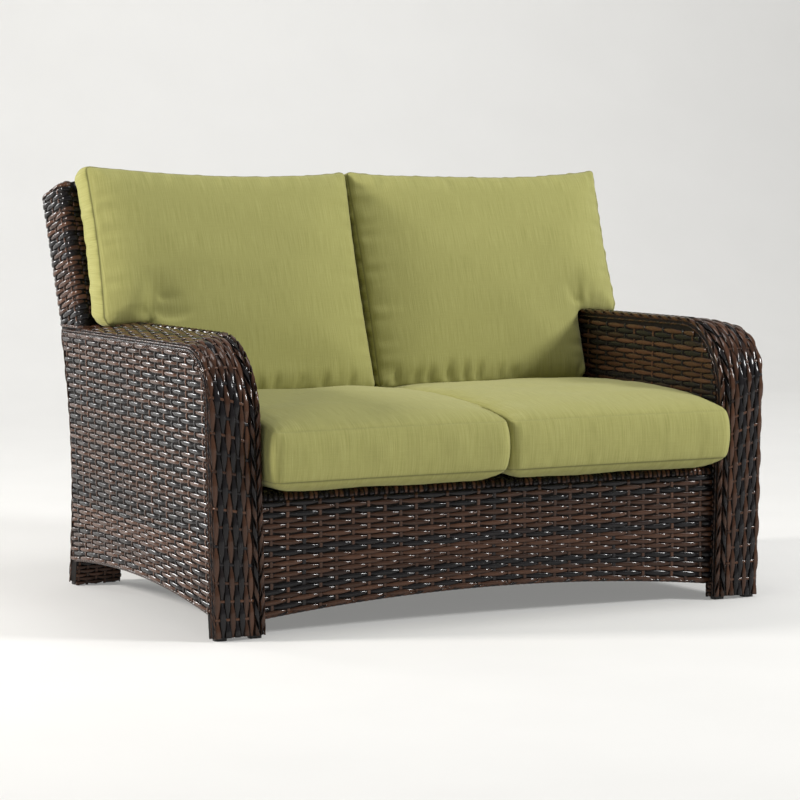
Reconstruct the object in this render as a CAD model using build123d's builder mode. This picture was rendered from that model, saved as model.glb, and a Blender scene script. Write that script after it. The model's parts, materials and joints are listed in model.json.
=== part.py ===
from build123d import *
from math import atan, cos, degrees, radians, sin, sqrt, tan
import os

os.makedirs("parts", exist_ok=True)

# Arms, in millimetres: heights from the floor, depths from the front of the legs
seat_width = 1107.0  # clear width between the arms at the floor
arm_width = 111.0
arm_lean = 1.26  # degrees that each arm leans outward
arm_height = 628.0
arm_fall = 8.0  # how far the arm's top drops from front to rear
arm_tilt = 14.0  # how far the arm's top drops from its inner to its outer edge
foot_depth = 894.0  # rear face of the rear leg at the floor
waist_draw = 42.0  # how far the waist of the side stands in from there
waist_height = 335.0
shoulder_throw = 6.0  # how far the rear face stands out again under the back
inner_corner = 175.0  # radius of the arm's front corner at its inner edge
outer_corner = 118.0
edge_round = 12.0
band_return = 20.0  # how far the top and front band reaches onto the arm's sides

# Woven skins
skin = 5.0
braid_width = 6.0
braid_rise = 2.5
seam = 0.3  # clearance between pieces that sit against each other

# Legs
glide_height = 8.0
leg_depth = 42.0
leg_toe = 38.0
rear_leg_depth = 48.0
cuff_drop = 50.0  # from the seat deck down to the top of the cuffs
front_spring = 57.0  # height where the arch of the side starts at the front leg
side_arch = 85.0
rear_spring = 61.0

# Tubes
tube = 22.0
tube_wall = 2.0
post_inset = 21.0
brace = 16.0
rail = 30.0
side_rail_width = 25.0
beam_width = 20.0
stile = 25.0

# Seat
apron_setback = 28.0
apron_spring = 37.0
apron_arch = 70.0
rear_arch = 80.0
rear_setback = 22.0
deck_height = 300.0
ledge_depth = 23.0
strap_width = 50.0
strap_gap = 28.0
strap_thick = 2.0
ledge_round = 12.0
ledge_reach = 42.0

# Back
back_rake = 18.1  # degrees from upright
back_setback = 137.0  # from the arm's rear corner to the back's front face, at the gauge height
gauge_rise = 16.0  # the gauge height's distance above the arm's top
back_thick = 120.0
back_draw = 2.7  # how far the back's front face stands in from the arm's outer side
back_spread = 0.03  # how much each side widens with height
back_cant = 10.0  # how much wider the rear face is on each side
foot_drop = 26.0  # from the arm's top down to the foot of the back
back_height = 313.0  # from the arm's top up to the top of the back
back_rail_low = -17.6  # foot rail's distance above the gauge line, along the rake
post_margin = 28.5  # from the arm's inner side to the middle of a back post

# Fasteners
bolt = 8.0
bolt_head = 13.0
bolt_head_height = 6.0
bolt_clearance = 0.3
pad_width = 27.0
pad_depth = 20.0

# Cushions
cover = 2.5
core_gap = 0.5
cushion_gap = 3.0  # between the two cushions of a pair
cushion_clearance = 4.0  # from a cushion to the arm
seat_overhang = 50.0
seat_puff = 7.0
seat_belly_rise = 28.0  # from the deck to the seat cushion's lower seam
seat_boxing = 110.0
seat_rise = 28.0  # how much higher the upper seam stands at mid depth than at the front
seat_crown = 12.0
seat_waist = 4.0  # how much the sides draw in towards the seams
back_gap_low = 28.0  # from the back's front face to the cushion's rear seam, at its foot
back_gap_high = 17.0
back_boxing = 90.0
back_crown = 38.0
cushion_seat = 22.5  # from the seat cushion's upper seam to the back cushion's foot
cushion_rise = 7.0  # how far the back cushions stand above the back
ear_rise = 14.0  # how much higher their outer corners stand
ear_draw = 21.0  # how far their outer ends stand in from the back's sides

rake = radians(back_rake)
lean = radians(arm_lean)
waist_depth = foot_depth - waist_draw
shoulder_depth = foot_depth + shoulder_throw
cuff_top = deck_height - cuff_drop
apron_top = deck_height - ledge_depth
gauge_height = arm_height + gauge_rise
back_depth = shoulder_depth - back_setback
back_foot = arm_height - foot_drop
back_top = arm_height + back_height
back_half = seat_width / 2 + arm_width + gauge_height * tan(lean) - back_draw
seat_seam_low = deck_height + seat_belly_rise
seat_seam_high = seat_seam_low + seat_boxing
cushion_low = seat_seam_high + cushion_seat
cushion_top = back_top + cushion_rise
cushion_peak = cushion_top + ear_rise
ear_half = back_half - ear_draw
third = edge_round / 3
back_rise = (back_top - gauge_height) / cos(rake)
crest_round = skin + stile / 2 + 2 * seam
front_reach = seat_overhang + seat_puff
rear_reach = back_depth + back_rise * sin(rake) + (back_thick - crest_round / 3) * cos(rake)
front_y = (front_reach - rear_reach) / 2


def keep(solid, label):
    solid.label = label
    export_step(solid, f"parts/{label}.step")


def keep_pair(solid, label):
    keep(solid, "right_" + label)
    keep(mirror(solid, about=Plane.YZ), "left_" + label)


def above(height):
    return Plane.XY.offset(height)


def arm_plane(across):
    """The right arm's side view, this far out from its inner face: X runs back, Y up along the lean."""
    base = Plane(
        origin=(seat_width / 2, front_y, 0), x_dir=(0, 1, 0), z_dir=(cos(lean), 0, -sin(lean))
    )
    return base.offset(across)


side_plane = Plane(origin=(0, front_y, 0), x_dir=(0, 1, 0), z_dir=(1, 0, 0))
front_plane = Plane(origin=(0, front_y, 0), x_dir=(1, 0, 0), z_dir=(0, -1, 0))
back_plane = Plane(
    origin=(0, front_y + back_depth, gauge_height), x_dir=(1, 0, 0), z_dir=(0, -cos(rake), sin(rake))
)


def inner_face_x(height):
    return seat_width / 2 + height * tan(lean)


def back_front(height):
    """Depth of the back's front face at a height."""
    return back_depth + (height - gauge_height) * tan(rake)


def tilt_at(across):
    return arm_tilt * (across / arm_width) ** 2


def corner_at(across):
    return inner_corner + (outer_corner - inner_corner) * across / arm_width


def rear_depth(inset, height):
    """Depth of the rear edge at a height, from the circle through its three points."""
    x1, y1 = foot_depth, 0.0
    x2, y2 = waist_depth, waist_height
    x3, y3 = shoulder_depth, arm_height - arm_fall
    a = x1 * (y2 - y3) - y1 * (x2 - x3) + x2 * y3 - x3 * y2
    q1 = x1**2 + y1**2
    q2 = x2**2 + y2**2
    q3 = x3**2 + y3**2
    b = q1 * (y3 - y2) + q2 * (y1 - y3) + q3 * (y2 - y1)
    c = q1 * (x2 - x3) + q2 * (x3 - x1) + q3 * (x1 - x2)
    centre_x = -b / (2 * a)
    centre_y = -c / (2 * a)
    radius = sqrt((x1 - centre_x) ** 2 + (y1 - centre_y) ** 2)
    return centre_x - sqrt(radius**2 - (height - centre_y) ** 2) - inset


def rear_edge(inset, top):
    """The rear edge from the floor up to a height, drawn in by inset."""
    return ThreePointArc(
        (rear_depth(inset, 0), 0), (rear_depth(inset, top / 2), top / 2), (rear_depth(inset, top), top)
    )


def arm_outline(across, inset):
    """The arm's closed side outline, drawn in by inset all round but at the floor."""
    radius = corner_at(across)
    height = arm_height - tilt_at(across)
    with BuildSketch(arm_plane(across)) as outline:
        with BuildLine():
            Line((inset, 0), (inset, height - radius))
            CenterArc((radius, height - radius), radius - inset, 180, -90)
            rear_top = height - inset - arm_fall
            Line((radius, height - inset), (rear_depth(inset, rear_top), rear_top))
            rear_edge(inset, rear_top)
            Line((rear_depth(inset, 0), 0), (inset, 0))
        make_face()
    return outline.sketch


def rear_strip(plane, rear_inset, front_inset, low, high):
    """Part of a side view between two insets of the rear edge."""
    top = arm_height - arm_fall
    with BuildSketch(plane) as strip:
        with BuildLine():
            rear_edge(rear_inset, top)
            Line((rear_depth(rear_inset, top), top), (rear_depth(front_inset, top), top))
            rear_edge(front_inset, top)
            Line((rear_depth(front_inset, 0), 0), (rear_depth(rear_inset, 0), 0))
        make_face()
        with Locations((foot_depth / 2, (low + high) / 2)):
            Rectangle(2 * foot_depth, high - low, mode=Mode.INTERSECT)
    return strip.sketch


def box_tube(length, depth, height):
    """A rectangular tube along X, centred on the origin."""
    outer = Box(length, depth, height, mode=Mode.PRIVATE)
    return outer - Box(length + 1, depth - 2 * tube_wall, height - 2 * tube_wall, mode=Mode.PRIVATE)


def rod(diameter, length):
    """A solid cylinder that stands on the origin along Z."""
    return Cylinder(
        diameter / 2, length, align=(Align.CENTER, Align.CENTER, Align.MIN), mode=Mode.PRIVATE
    )


with BuildPart() as arm_form:
    for across, inset in (
        (0, edge_round),
        (third, third),
        (arm_width / 2, 0),
        (arm_width - third, third),
        (arm_width, edge_round),
    ):
        add(arm_outline(across, inset))
    loft(ruled=True)
    split(bisect_by=above(glide_height), keep=Keep.TOP)

with BuildPart() as arm_hollow:
    for across, inset in (
        (skin, edge_round),
        (skin + third, third + skin),
        (arm_width / 2, skin),
        (arm_width - skin - third, third + skin),
        (arm_width - skin, edge_round),
    ):
        add(arm_outline(across, inset))
    loft(ruled=True)

# What is left of the arm's envelope after its hollow and its two side windows
with BuildPart() as arm_shell:
    add(arm_form.part)
    add(arm_hollow.part, mode=Mode.SUBTRACT)
    extrude(arm_outline(arm_width, band_return), amount=skin + seam, both=True, mode=Mode.SUBTRACT)
    extrude(arm_outline(0, band_return), amount=skin + seam, both=True, mode=Mode.SUBTRACT)

rear_skin_top = arm_height - arm_fall - arm_tilt - band_return - edge_round
with BuildPart() as rear_zone:
    with BuildSketch(arm_plane(-skin)):
        with Locations((waist_depth - rear_leg_depth, -skin)):
            Rectangle(3 * rear_leg_depth, rear_skin_top + skin, align=(Align.MIN, Align.MIN))
    extrude(amount=arm_width + 2 * skin)

# Positions of the tubes in the arm, and of the bolts that hold the seat and the back
inner_across = skin + seam + tube / 2
outer_across = arm_width - inner_across
rail_top = deck_height - 2 * strap_thick - seam
rail_mid = rail_top - rail / 2
rail_low = rail_top - rail
bearer_front = post_inset + tube / 2 + seam
bearer_rear = rear_depth(post_inset, rail_mid) - tube / 2 - 2 * seam
back_rail_n = -(skin + seam + stile / 2)
hoop_mid = arm_height - arm_tilt / 2 - arm_fall - post_inset
back_bolt_low = (hoop_mid - gauge_height) / cos(rake) + 3 * tube_wall
seat_bolt_start = inner_face_x(rail_low) - seam - side_rail_width
seat_bolt_end = inner_face_x(rail_mid) + skin + seam + tube_wall + bolt / 2
hole = bolt + 2 * bolt_clearance


def back_bolt_space(diameter, low, high):
    """Rods on the right arm's two back bolt lines, between two distances along the rake."""
    spaces = []
    for across in (inner_across, outer_across):
        foot = back_plane.from_local_coords((inner_face_x(hoop_mid) + across, low, back_rail_n))
        along = Plane(origin=foot, x_dir=(1, 0, 0), z_dir=(0, sin(rake), cos(rake)))
        spaces.append(along.location * rod(diameter, high - low))
    return spaces


def seat_bolt_space(diameter, start, end):
    """Rods along X on the right side's seat bolt lines."""
    spaces = []
    for share in (0.18, 0.5, 0.8):
        y = front_y + bearer_front + (bearer_rear - bearer_front) * share
        spaces.append(Pos(start, y, rail_mid) * Rot(0, 90, 0) * rod(diameter, end - start))
    return spaces


# The band that runs up the front of each arm, over its corner and along its top
with BuildPart() as arm_band:
    add(arm_shell.part)
    add(rear_zone.part, mode=Mode.SUBTRACT)
    for space in back_bolt_space(hole, back_bolt_low - 1, 0):
        add(space, mode=Mode.SUBTRACT)
keep_pair(arm_band.part, "arm_band")

# The skin over the rear face of each arm and rear leg
with BuildPart() as arm_rear_skin:
    add(arm_shell.part)
    add(rear_zone.part, mode=Mode.INTERSECT)
keep_pair(arm_rear_skin.part, "arm_rear_skin")

# Arched tube along the foot of the outer weave, and the room that it takes in the leg cuffs
foot_rail_plane = arm_plane(arm_width - skin - seam - brace / 2)


def foot_rail_line(radius, front, rear):
    """A bar along the arch of the side, of this radius."""
    height = front_spring + brace / 2 + skin
    with BuildPart() as bar:
        with BuildLine(foot_rail_plane) as line:
            ThreePointArc((front, height), (waist_depth / 2, side_arch + brace / 2), (rear, height + third))
        with BuildSketch(Plane(origin=line.line @ 0, z_dir=line.line % 0)):
            Circle(radius)
        sweep()
    return bar.part


foot_rail_front = post_inset + tube / 2 + 4 * seam
foot_rail_rear = rear_depth(post_inset, front_spring + tube) - tube / 2 - 2 * seam
foot_rail_room = foot_rail_line(brace / 2 + seam, foot_rail_front, foot_rail_rear)
with BuildPart() as foot_rail:
    add(foot_rail_line(brace / 2, foot_rail_front, foot_rail_rear))
    add(foot_rail_line(brace / 2 - tube_wall, foot_rail_front, foot_rail_rear), mode=Mode.SUBTRACT)
keep_pair(foot_rail.part, "arm_foot_rail")

# Woven outer side of each arm, arched along its foot
with BuildPart() as outer_weave:
    extrude(arm_outline(arm_width, band_return + seam), amount=-skin)
    with BuildSketch(arm_plane(arm_width + 1)):
        with BuildLine():
            Polyline((foot_depth - rear_leg_depth, rear_spring), (foot_depth + skin, rear_spring))
            Polyline((foot_depth + skin, rear_spring), (foot_depth + skin, -skin), (0, -skin))
            Polyline((0, -skin), (0, front_spring), (leg_depth, front_spring))
            ThreePointArc(
                (leg_depth, front_spring),
                ((leg_depth + waist_depth) / 2, side_arch),
                (foot_depth - rear_leg_depth, rear_spring),
            )
        make_face()
    extrude(amount=-(skin + 2), mode=Mode.SUBTRACT)
keep_pair(outer_weave.part, "arm_outer_weave")

# Woven inner side of each arm, from the leg cuffs to the band
with BuildPart() as inner_weave:
    extrude(arm_outline(0, band_return + seam), amount=skin)
    split(bisect_by=above(cuff_top + seam), keep=Keep.TOP)
    for space in seat_bolt_space(hole, seat_bolt_start, seat_bolt_end):
        add(space, mode=Mode.SUBTRACT)
keep_pair(inner_weave.part, "arm_inner_weave")

# Braided cord over the edge where the outer weave meets the band
with BuildPart() as braid:
    extrude(arm_outline(arm_width, band_return - braid_width / 2), amount=braid_rise)
    extrude(arm_outline(arm_width, band_return + braid_width / 2), amount=braid_rise, mode=Mode.SUBTRACT)
    with BuildSketch(arm_plane(arm_width)):
        with BuildLine():
            Polyline(
                (band_return + braid_width / 2, -skin),
                (band_return + braid_width / 2, arm_height / 2),
                (waist_depth - rear_leg_depth, arm_height / 2),
                (waist_depth - rear_leg_depth, arm_height),
                (shoulder_depth + skin, arm_height),
                (shoulder_depth + skin, -skin),
                close=True,
            )
        make_face()
    extrude(amount=braid_rise, mode=Mode.SUBTRACT)
    split(bisect_by=above(glide_height), keep=Keep.TOP)
keep_pair(braid.part, "arm_braid")

# Woven cuff that closes the front leg behind the band
cuff_window = cuff_top + skin
with BuildPart() as front_cuff:
    with BuildSketch(arm_plane(0)):
        with BuildLine():
            Polyline(
                (band_return + seam, 0),
                (leg_toe, 0),
                (leg_depth, front_spring - seam),
                (leg_depth, cuff_top),
                (band_return + seam, cuff_top),
                close=True,
            )
        make_face()
    extrude(amount=arm_width)
    with BuildSketch(arm_plane(skin)):
        with BuildLine():
            Polyline(
                (0, -skin),
                (leg_toe - skin, -skin),
                (leg_toe - skin, 0),
                (leg_depth - skin, front_spring - seam),
                (leg_depth - skin, cuff_window),
                (0, cuff_window),
                close=True,
            )
        make_face()
    extrude(amount=arm_width - 2 * skin, mode=Mode.SUBTRACT)
    with BuildSketch(arm_plane(arm_width - skin - seam)):
        with Locations((0, front_spring - seam)):
            Rectangle(2 * leg_depth, cuff_window, align=(Align.MIN, Align.MIN))
    extrude(amount=skin + 1, mode=Mode.SUBTRACT)
    add(foot_rail_room, mode=Mode.SUBTRACT)
    split(bisect_by=above(glide_height), keep=Keep.TOP)
keep_pair(front_cuff.part, "front_leg_cuff")

# Woven cuff that closes the rear leg in front of the rear skin
with BuildPart() as rear_cuff:
    extrude(rear_strip(arm_plane(0), band_return + seam, rear_leg_depth, 0, cuff_top), amount=arm_width)
    extrude(
        rear_strip(arm_plane(skin), -skin, rear_leg_depth - skin, -skin, cuff_window),
        amount=arm_width - 2 * skin,
        mode=Mode.SUBTRACT,
    )
    with BuildSketch(arm_plane(arm_width - skin - seam)):
        with Locations((waist_depth - 2 * rear_leg_depth, rear_spring - seam)):
            Rectangle(4 * rear_leg_depth, cuff_window, align=(Align.MIN, Align.MIN))
    extrude(amount=skin + 1, mode=Mode.SUBTRACT)
    add(foot_rail_room, mode=Mode.SUBTRACT)
    split(bisect_by=above(glide_height), keep=Keep.TOP)
keep_pair(rear_cuff.part, "rear_leg_cuff")


def hoop_bar(across, radius):
    """The arm's front post, bend and top rail in one run, on the line that post_inset draws."""
    corner = corner_at(across)
    height = arm_height - tilt_at(across)
    bend = corner - post_inset
    fall = atan(arm_fall / (shoulder_depth - corner))
    bend_end = (corner + bend * sin(fall), height - corner + bend * cos(fall))
    end = rear_depth(post_inset, height - post_inset - arm_fall - tube / 2) - tube / 2 - 3 * seam
    with BuildPart() as bar:
        with BuildLine(arm_plane(across)) as line:
            Line((post_inset, 0), (post_inset, height - corner))
            CenterArc((corner, height - corner), bend, 180, -90 - degrees(fall))
            Line(bend_end, (end, bend_end[1] - (end - bend_end[0]) * tan(fall)))
        with BuildSketch(Plane(origin=line.line @ 0, z_dir=line.line % 0)):
            Circle(radius)
        sweep()
        split(bisect_by=above(glide_height + seam), keep=Keep.TOP)
    return bar.part


def post_bar(across, radius):
    """The rear post, bowed like the rear edge of the side."""
    top = arm_height - tilt_at(across) - arm_fall - post_inset + tube / 4
    with BuildPart() as bar:
        with BuildLine(arm_plane(across)) as line:
            ThreePointArc(
                (rear_depth(post_inset, 0), 0),
                (rear_depth(post_inset, top / 2), top / 2),
                (rear_depth(post_inset, top), top),
            )
        with BuildSketch(Plane(origin=line.line @ 0, z_dir=line.line % 0)):
            Circle(radius)
        sweep()
        split(bisect_by=above(glide_height + seam), keep=Keep.TOP)
    return bar.part


# Bent tubes that carry each arm, and the bowed posts behind them
for across, place in ((inner_across, "inner"), (outer_across, "outer")):
    with BuildPart() as hoop:
        add(hoop_bar(across, tube / 2))
        add(hoop_bar(across, tube / 2 - tube_wall), mode=Mode.SUBTRACT)
        for space in back_bolt_space(hole, back_bolt_low - 1, 0):
            add(space, mode=Mode.SUBTRACT)
    keep_pair(hoop.part, f"arm_{place}_hoop")
    with BuildPart() as post:
        add(post_bar(across, tube / 2))
        add(post_bar(across, tube / 2 - tube_wall), mode=Mode.SUBTRACT)
    keep_pair(post.part, f"arm_{place}_post")

# Bearer between the inner posts, which the seat frame is bolted to
with BuildPart() as bearer:
    length = bearer_rear - bearer_front
    middle = Pos(bearer_front + length / 2, rail_mid, skin + seam + tube / 2)
    add(arm_plane(0).location * middle * box_tube(length, rail, tube))
    for space in seat_bolt_space(hole, seat_bolt_start, seat_bolt_end):
        add(space, mode=Mode.SUBTRACT)
keep_pair(bearer.part, "arm_seat_bearer")

# Short tubes that tie the inner and outer tubes of each arm together
spacer_spots = []
for height in (cuff_top / 2, arm_height * 2 / 3):
    spacer_spots.append((post_inset, height))
    spacer_spots.append((rear_depth(post_inset, height), height))
for depth in (shoulder_depth / 3, shoulder_depth * 2 / 3):
    spacer_spots.append((depth, arm_height - arm_tilt / 2 - post_inset - arm_fall * depth / shoulder_depth))
spacer_spots[2] = (post_inset, (arm_height - inner_corner + rail_top) / 2)
with BuildPart() as spacers:
    with BuildSketch(arm_plane(inner_across + tube / 2 + seam)):
        with Locations(*spacer_spots):
            Circle(brace / 2)
            Circle(brace / 2 - tube_wall, mode=Mode.SUBTRACT)
    extrude(amount=outer_across - inner_across - tube - 2 * seam)
keep_pair(spacers.part, "arm_spacers")

# Glides: a pad under each post and a plug inside it
plug = tube - 2 * tube_wall - 6
with BuildPart() as glides:
    for side in (1, -1):
        for across in (inner_across, outer_across):
            for depth in (post_inset, rear_depth(post_inset, glide_height)):
                x = side * (seat_width / 2 + across)
                with BuildSketch(above(0)):
                    with Locations((x, front_y + depth)):
                        RectangleRounded(pad_width, pad_depth, pad_depth / 4)
                extrude(amount=glide_height)
                with BuildSketch(above(glide_height)):
                    with Locations((x, front_y + depth)):
                        Circle(plug / 2)
                extrude(amount=plug / 2)
keep(glides.part, "leg_glides")

# Seat frame: two cross rails, two side rails and a centre beam
rail_half = inner_face_x(rail_low) - seam
cross_half = rail_half - side_rail_width
front_rail = front_y + apron_setback + skin + seam
rear_rail = front_y + back_front(deck_height)
with BuildPart() as seat_front_rail:
    add(Pos(0, front_rail + rail / 2, rail_mid) * box_tube(2 * cross_half, rail, rail))
keep(seat_front_rail.part, "seat_front_rail")

with BuildPart() as seat_rear_rail:
    add(Pos(0, rear_rail + rail / 2, rail_mid) * box_tube(2 * cross_half, rail, rail))
keep(seat_rear_rail.part, "seat_rear_rail")

side_length = rear_rail + rail - front_rail
with BuildPart() as side_rail:
    middle = Pos(cross_half + side_rail_width / 2, front_rail + side_length / 2, rail_mid)
    add(middle * Rot(0, 0, 90) * box_tube(side_length, side_rail_width, rail))
    for space in seat_bolt_space(hole, seat_bolt_start - 1, seat_bolt_end):
        add(space, mode=Mode.SUBTRACT)
keep_pair(side_rail.part, "seat_side_rail")

with BuildPart() as centre_beam:
    length = rear_rail - front_rail - rail
    middle = Pos(0, front_rail + rail + length / 2, rail_mid)
    add(middle * Rot(0, 0, 90) * box_tube(length, beam_width, rail))
keep(centre_beam.part, "seat_centre_beam")

with BuildPart() as seat_bolts:
    for space in seat_bolt_space(bolt, seat_bolt_start, seat_bolt_end):
        add(space)
    for space in seat_bolt_space(bolt_head, seat_bolt_start - bolt_head_height, seat_bolt_start):
        add(space)
    mirror(about=Plane.YZ)
keep(seat_bolts.part, "seat_bolts")

# Straps of the seat deck: one layer across, and one from front to rear on top of it
deck_front = front_y + apron_setback + ledge_reach + seam
deck_rear = rear_rail + rail
strap_pitch = strap_width + strap_gap
cross_count = int((deck_rear - deck_front) / strap_pitch)
cross_start = (deck_front + deck_rear - strap_pitch * (cross_count - 1)) / 2
with BuildPart() as cross_straps:
    for index in range(cross_count):
        with BuildSketch(above(rail_top)):
            with Locations((0, cross_start + index * strap_pitch)):
                Rectangle(2 * rail_half - 2 * seam, strap_width)
        extrude(amount=strap_thick)
keep(cross_straps.part, "seat_cross_straps")

long_count = int(2 * cross_half / strap_pitch)
with BuildPart() as long_straps:
    for index in range(long_count):
        with BuildSketch(above(rail_top + strap_thick + seam)):
            with Locations(((index - (long_count - 1) / 2) * strap_pitch, deck_front)):
                Rectangle(strap_width, deck_rear - deck_front, align=(Align.CENTER, Align.MIN))
        extrude(amount=strap_thick)
keep(long_straps.part, "seat_long_straps")


def arch_cut(height):
    """Everything below an arch that spans the legs, from the front of the seat to behind it."""
    half = inner_face_x(0) + 1
    with BuildPart() as cut:
        with BuildSketch(front_plane):
            with BuildLine():
                Polyline((half, apron_spring), (half, -skin), (-half, -skin), (-half, apron_spring))
                ThreePointArc((-half, apron_spring), (0, height), (half, apron_spring))
            make_face()
        extrude(amount=-(foot_depth + skin))
    return cut.part


# Woven front apron with its arched foot, and the tube behind that arch
with BuildPart() as apron:
    low_x = inner_face_x(0) - seam
    high_x = inner_face_x(apron_top) - seam
    with BuildSketch(front_plane.offset(-apron_setback)):
        with BuildLine():
            Polyline((low_x, 0), (high_x, apron_top), (-high_x, apron_top), (-low_x, 0), close=True)
        make_face()
    extrude(amount=-skin)
    add(arch_cut(apron_arch), mode=Mode.SUBTRACT)
keep(apron.part, "apron_weave")

apron_rail_plane = front_plane.offset(-(apron_setback + skin + seam + brace / 2))
apron_rail_end = inner_face_x(0) - brace / 2


def apron_rail_line(radius):
    """A bar along the apron's arch, of this radius."""
    height = apron_spring + brace / 2 + skin
    with BuildPart() as bar:
        with BuildLine(apron_rail_plane) as line:
            ThreePointArc((-apron_rail_end, height), (0, apron_arch + brace / 2), (apron_rail_end, height))
        with BuildSketch(Plane(origin=line.line @ 0, z_dir=line.line % 0)):
            Circle(radius)
        sweep()
    return bar.part


with BuildPart() as apron_rail:
    add(apron_rail_line(brace / 2))
    add(apron_rail_line(brace / 2 - tube_wall), mode=Mode.SUBTRACT)
keep(apron_rail.part, "apron_foot_rail")

# Rolled edge woven over the front rail
with BuildPart() as ledge:
    with BuildSketch(side_plane.offset(-rail_half)):
        with Locations((apron_setback, apron_top + seam)):
            Rectangle(ledge_reach, deck_height - apron_top - seam, align=(Align.MIN, Align.MIN))
        fillet(vertices().group_by(Axis.Y)[-1].sort_by(Axis.X)[0], radius=ledge_round)
        with Locations((apron_setback + skin, apron_top)):
            Rectangle(ledge_reach, rail_top + seam - apron_top, align=(Align.MIN, Align.MIN), mode=Mode.SUBTRACT)
    extrude(amount=2 * rail_half)
keep(ledge.part, "seat_edge_wrap")

# The arm with a little room around it, which the back and the rear weave fit against
arm_room = Pos(-seam, 0, seam) * arm_form.part
arm_rooms = (arm_room, mirror(arm_room, about=Plane.YZ))


def back_sheet(inset, n):
    """The back's front view at a distance in front of its front face, drawn in by inset."""
    low = (deck_height - gauge_height) / cos(rake)
    high = back_rise - inset
    half_low = back_half - inset + back_spread * low - back_cant * n / back_thick
    half_high = back_half - inset + back_spread * high - back_cant * n / back_thick
    with BuildSketch(back_plane.offset(n)) as sheet:
        with BuildLine():
            Polyline((half_low, low), (half_high, high), (-half_high, high), (-half_low, low), close=True)
        make_face()
    return sheet.sketch


def back_block(inset, radius):
    """The back's whole envelope drawn in by inset, with this radius on its sides and crest."""
    with BuildPart() as block:
        add(back_sheet(inset, -inset))
        add(back_sheet(inset, inset - back_thick))
        loft(ruled=True)
        sides = block.edges().filter_by(
            lambda edge: abs(edge.center().X) > back_half / 2 and edge.length > 2 * back_thick
        )
        fillet(sides, radius=radius + seam)
        fillet(block.faces().sort_by(Axis.Z)[-1].edges(), radius=radius)
    return block.part


back_form = back_block(0, crest_round)
back_hollow = back_block(skin, crest_round - skin)
window = crest_round + skin

# Woven wrap over the back's crest and down its sides
with BuildPart() as back_wrap:
    add(back_form)
    split(bisect_by=above(back_foot), keep=Keep.TOP)
    add(back_hollow, mode=Mode.SUBTRACT)
    extrude(back_sheet(window, 0), amount=skin + seam, both=True, mode=Mode.SUBTRACT)
    extrude(back_sheet(window, -back_thick), amount=skin + seam, both=True, mode=Mode.SUBTRACT)
    for room in arm_rooms:
        add(room, mode=Mode.SUBTRACT)
keep(back_wrap.part, "back_edge_wrap")

# Woven front of the back, which runs down between the arms to the seat
with BuildPart() as back_front_weave:
    extrude(back_sheet(window + seam, 0), amount=-skin)
    split(bisect_by=above(deck_height + seam), keep=Keep.TOP)
    for room in arm_rooms:
        add(room, mode=Mode.SUBTRACT)
keep(back_front_weave.part, "back_front_weave")

# Woven rear of the back, above the arms
with BuildPart() as back_rear_weave:
    extrude(back_sheet(window + seam, -back_thick), amount=skin)
    split(bisect_by=above(back_foot), keep=Keep.TOP)
    for room in arm_rooms:
        add(room, mode=Mode.SUBTRACT)
keep(back_rear_weave.part, "back_rear_weave")

# Woven rear between the arms, bowed like the rear posts
with BuildPart() as rear_weave:
    strip = rear_strip(side_plane, rear_setback, rear_setback + skin, 0, back_foot - seam)
    extrude(strip, amount=rail_half + skin + edge_round, both=True)
    split(bisect_by=above(apron_spring), keep=Keep.TOP)
    add(arch_cut(rear_arch), mode=Mode.SUBTRACT)
    for room in arm_rooms:
        add(room, mode=Mode.SUBTRACT)
keep(rear_weave.part, "rear_weave")

# Frame of the back: foot rail, round top rail, three stiles and two posts down to the seat frame
back_rail_half = back_half - crest_round - skin
foot_rail_mid = back_rail_low + stile / 2
top_rail_mid = back_rise - skin - seam - stile / 2
with BuildPart() as back_foot_rail:
    add(back_plane.location * Pos(0, foot_rail_mid, back_rail_n) * box_tube(2 * back_rail_half, stile, stile))
    for space in back_bolt_space(hole, back_bolt_low, foot_rail_mid):
        add(space, mode=Mode.SUBTRACT)
        add(mirror(space, about=Plane.YZ), mode=Mode.SUBTRACT)
keep(back_foot_rail.part, "back_foot_rail")

with BuildPart() as back_top_rail:
    turn = back_plane.location * Pos(-back_rail_half, top_rail_mid, back_rail_n) * Rot(0, 90, 0)
    add(turn * rod(stile, 2 * back_rail_half))
    add(turn * rod(stile - 2 * tube_wall, 2 * back_rail_half), mode=Mode.SUBTRACT)
keep(back_top_rail.part, "back_top_rail")


def back_upright(u, low, high):
    """A square tube up the back, between two distances along the rake."""
    middle = Pos(u, (low + high) / 2, back_rail_n)
    return back_plane.location * middle * Rot(0, 0, 90) * box_tube(high - low, stile, stile)


stile_low = back_rail_low + stile
stile_high = top_rail_mid - stile / 2 - seam
keep(back_upright(0, stile_low, stile_high), "back_centre_stile")
keep_pair(back_upright(back_rail_half - stile / 2, stile_low, stile_high), "back_stile")

with BuildPart() as back_post:
    add(back_upright(seat_width / 2 - post_margin, (rail_low - gauge_height) / cos(rake), back_rail_low))
    split(bisect_by=above(deck_height + seam), keep=Keep.TOP)
keep_pair(back_post.part, "back_post")

with BuildPart() as back_bolts:
    head_low = back_rail_low + tube_wall
    for space in back_bolt_space(bolt, back_bolt_low, head_low):
        add(space)
    for space in back_bolt_space(bolt_head, head_low, head_low + bolt_head_height):
        add(space)
    mirror(about=Plane.YZ)
keep(back_bolts.part, "back_bolts")

# Seat cushions
seat_inner = cushion_gap / 2
seat_outer = inner_face_x(deck_height) - cushion_clearance
seat_mid = (seat_inner + seat_outer) / 2
seat_rear = back_front(deck_height) - cushion_gap
seat_belly = seat_seam_low - deck_height - seam


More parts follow.
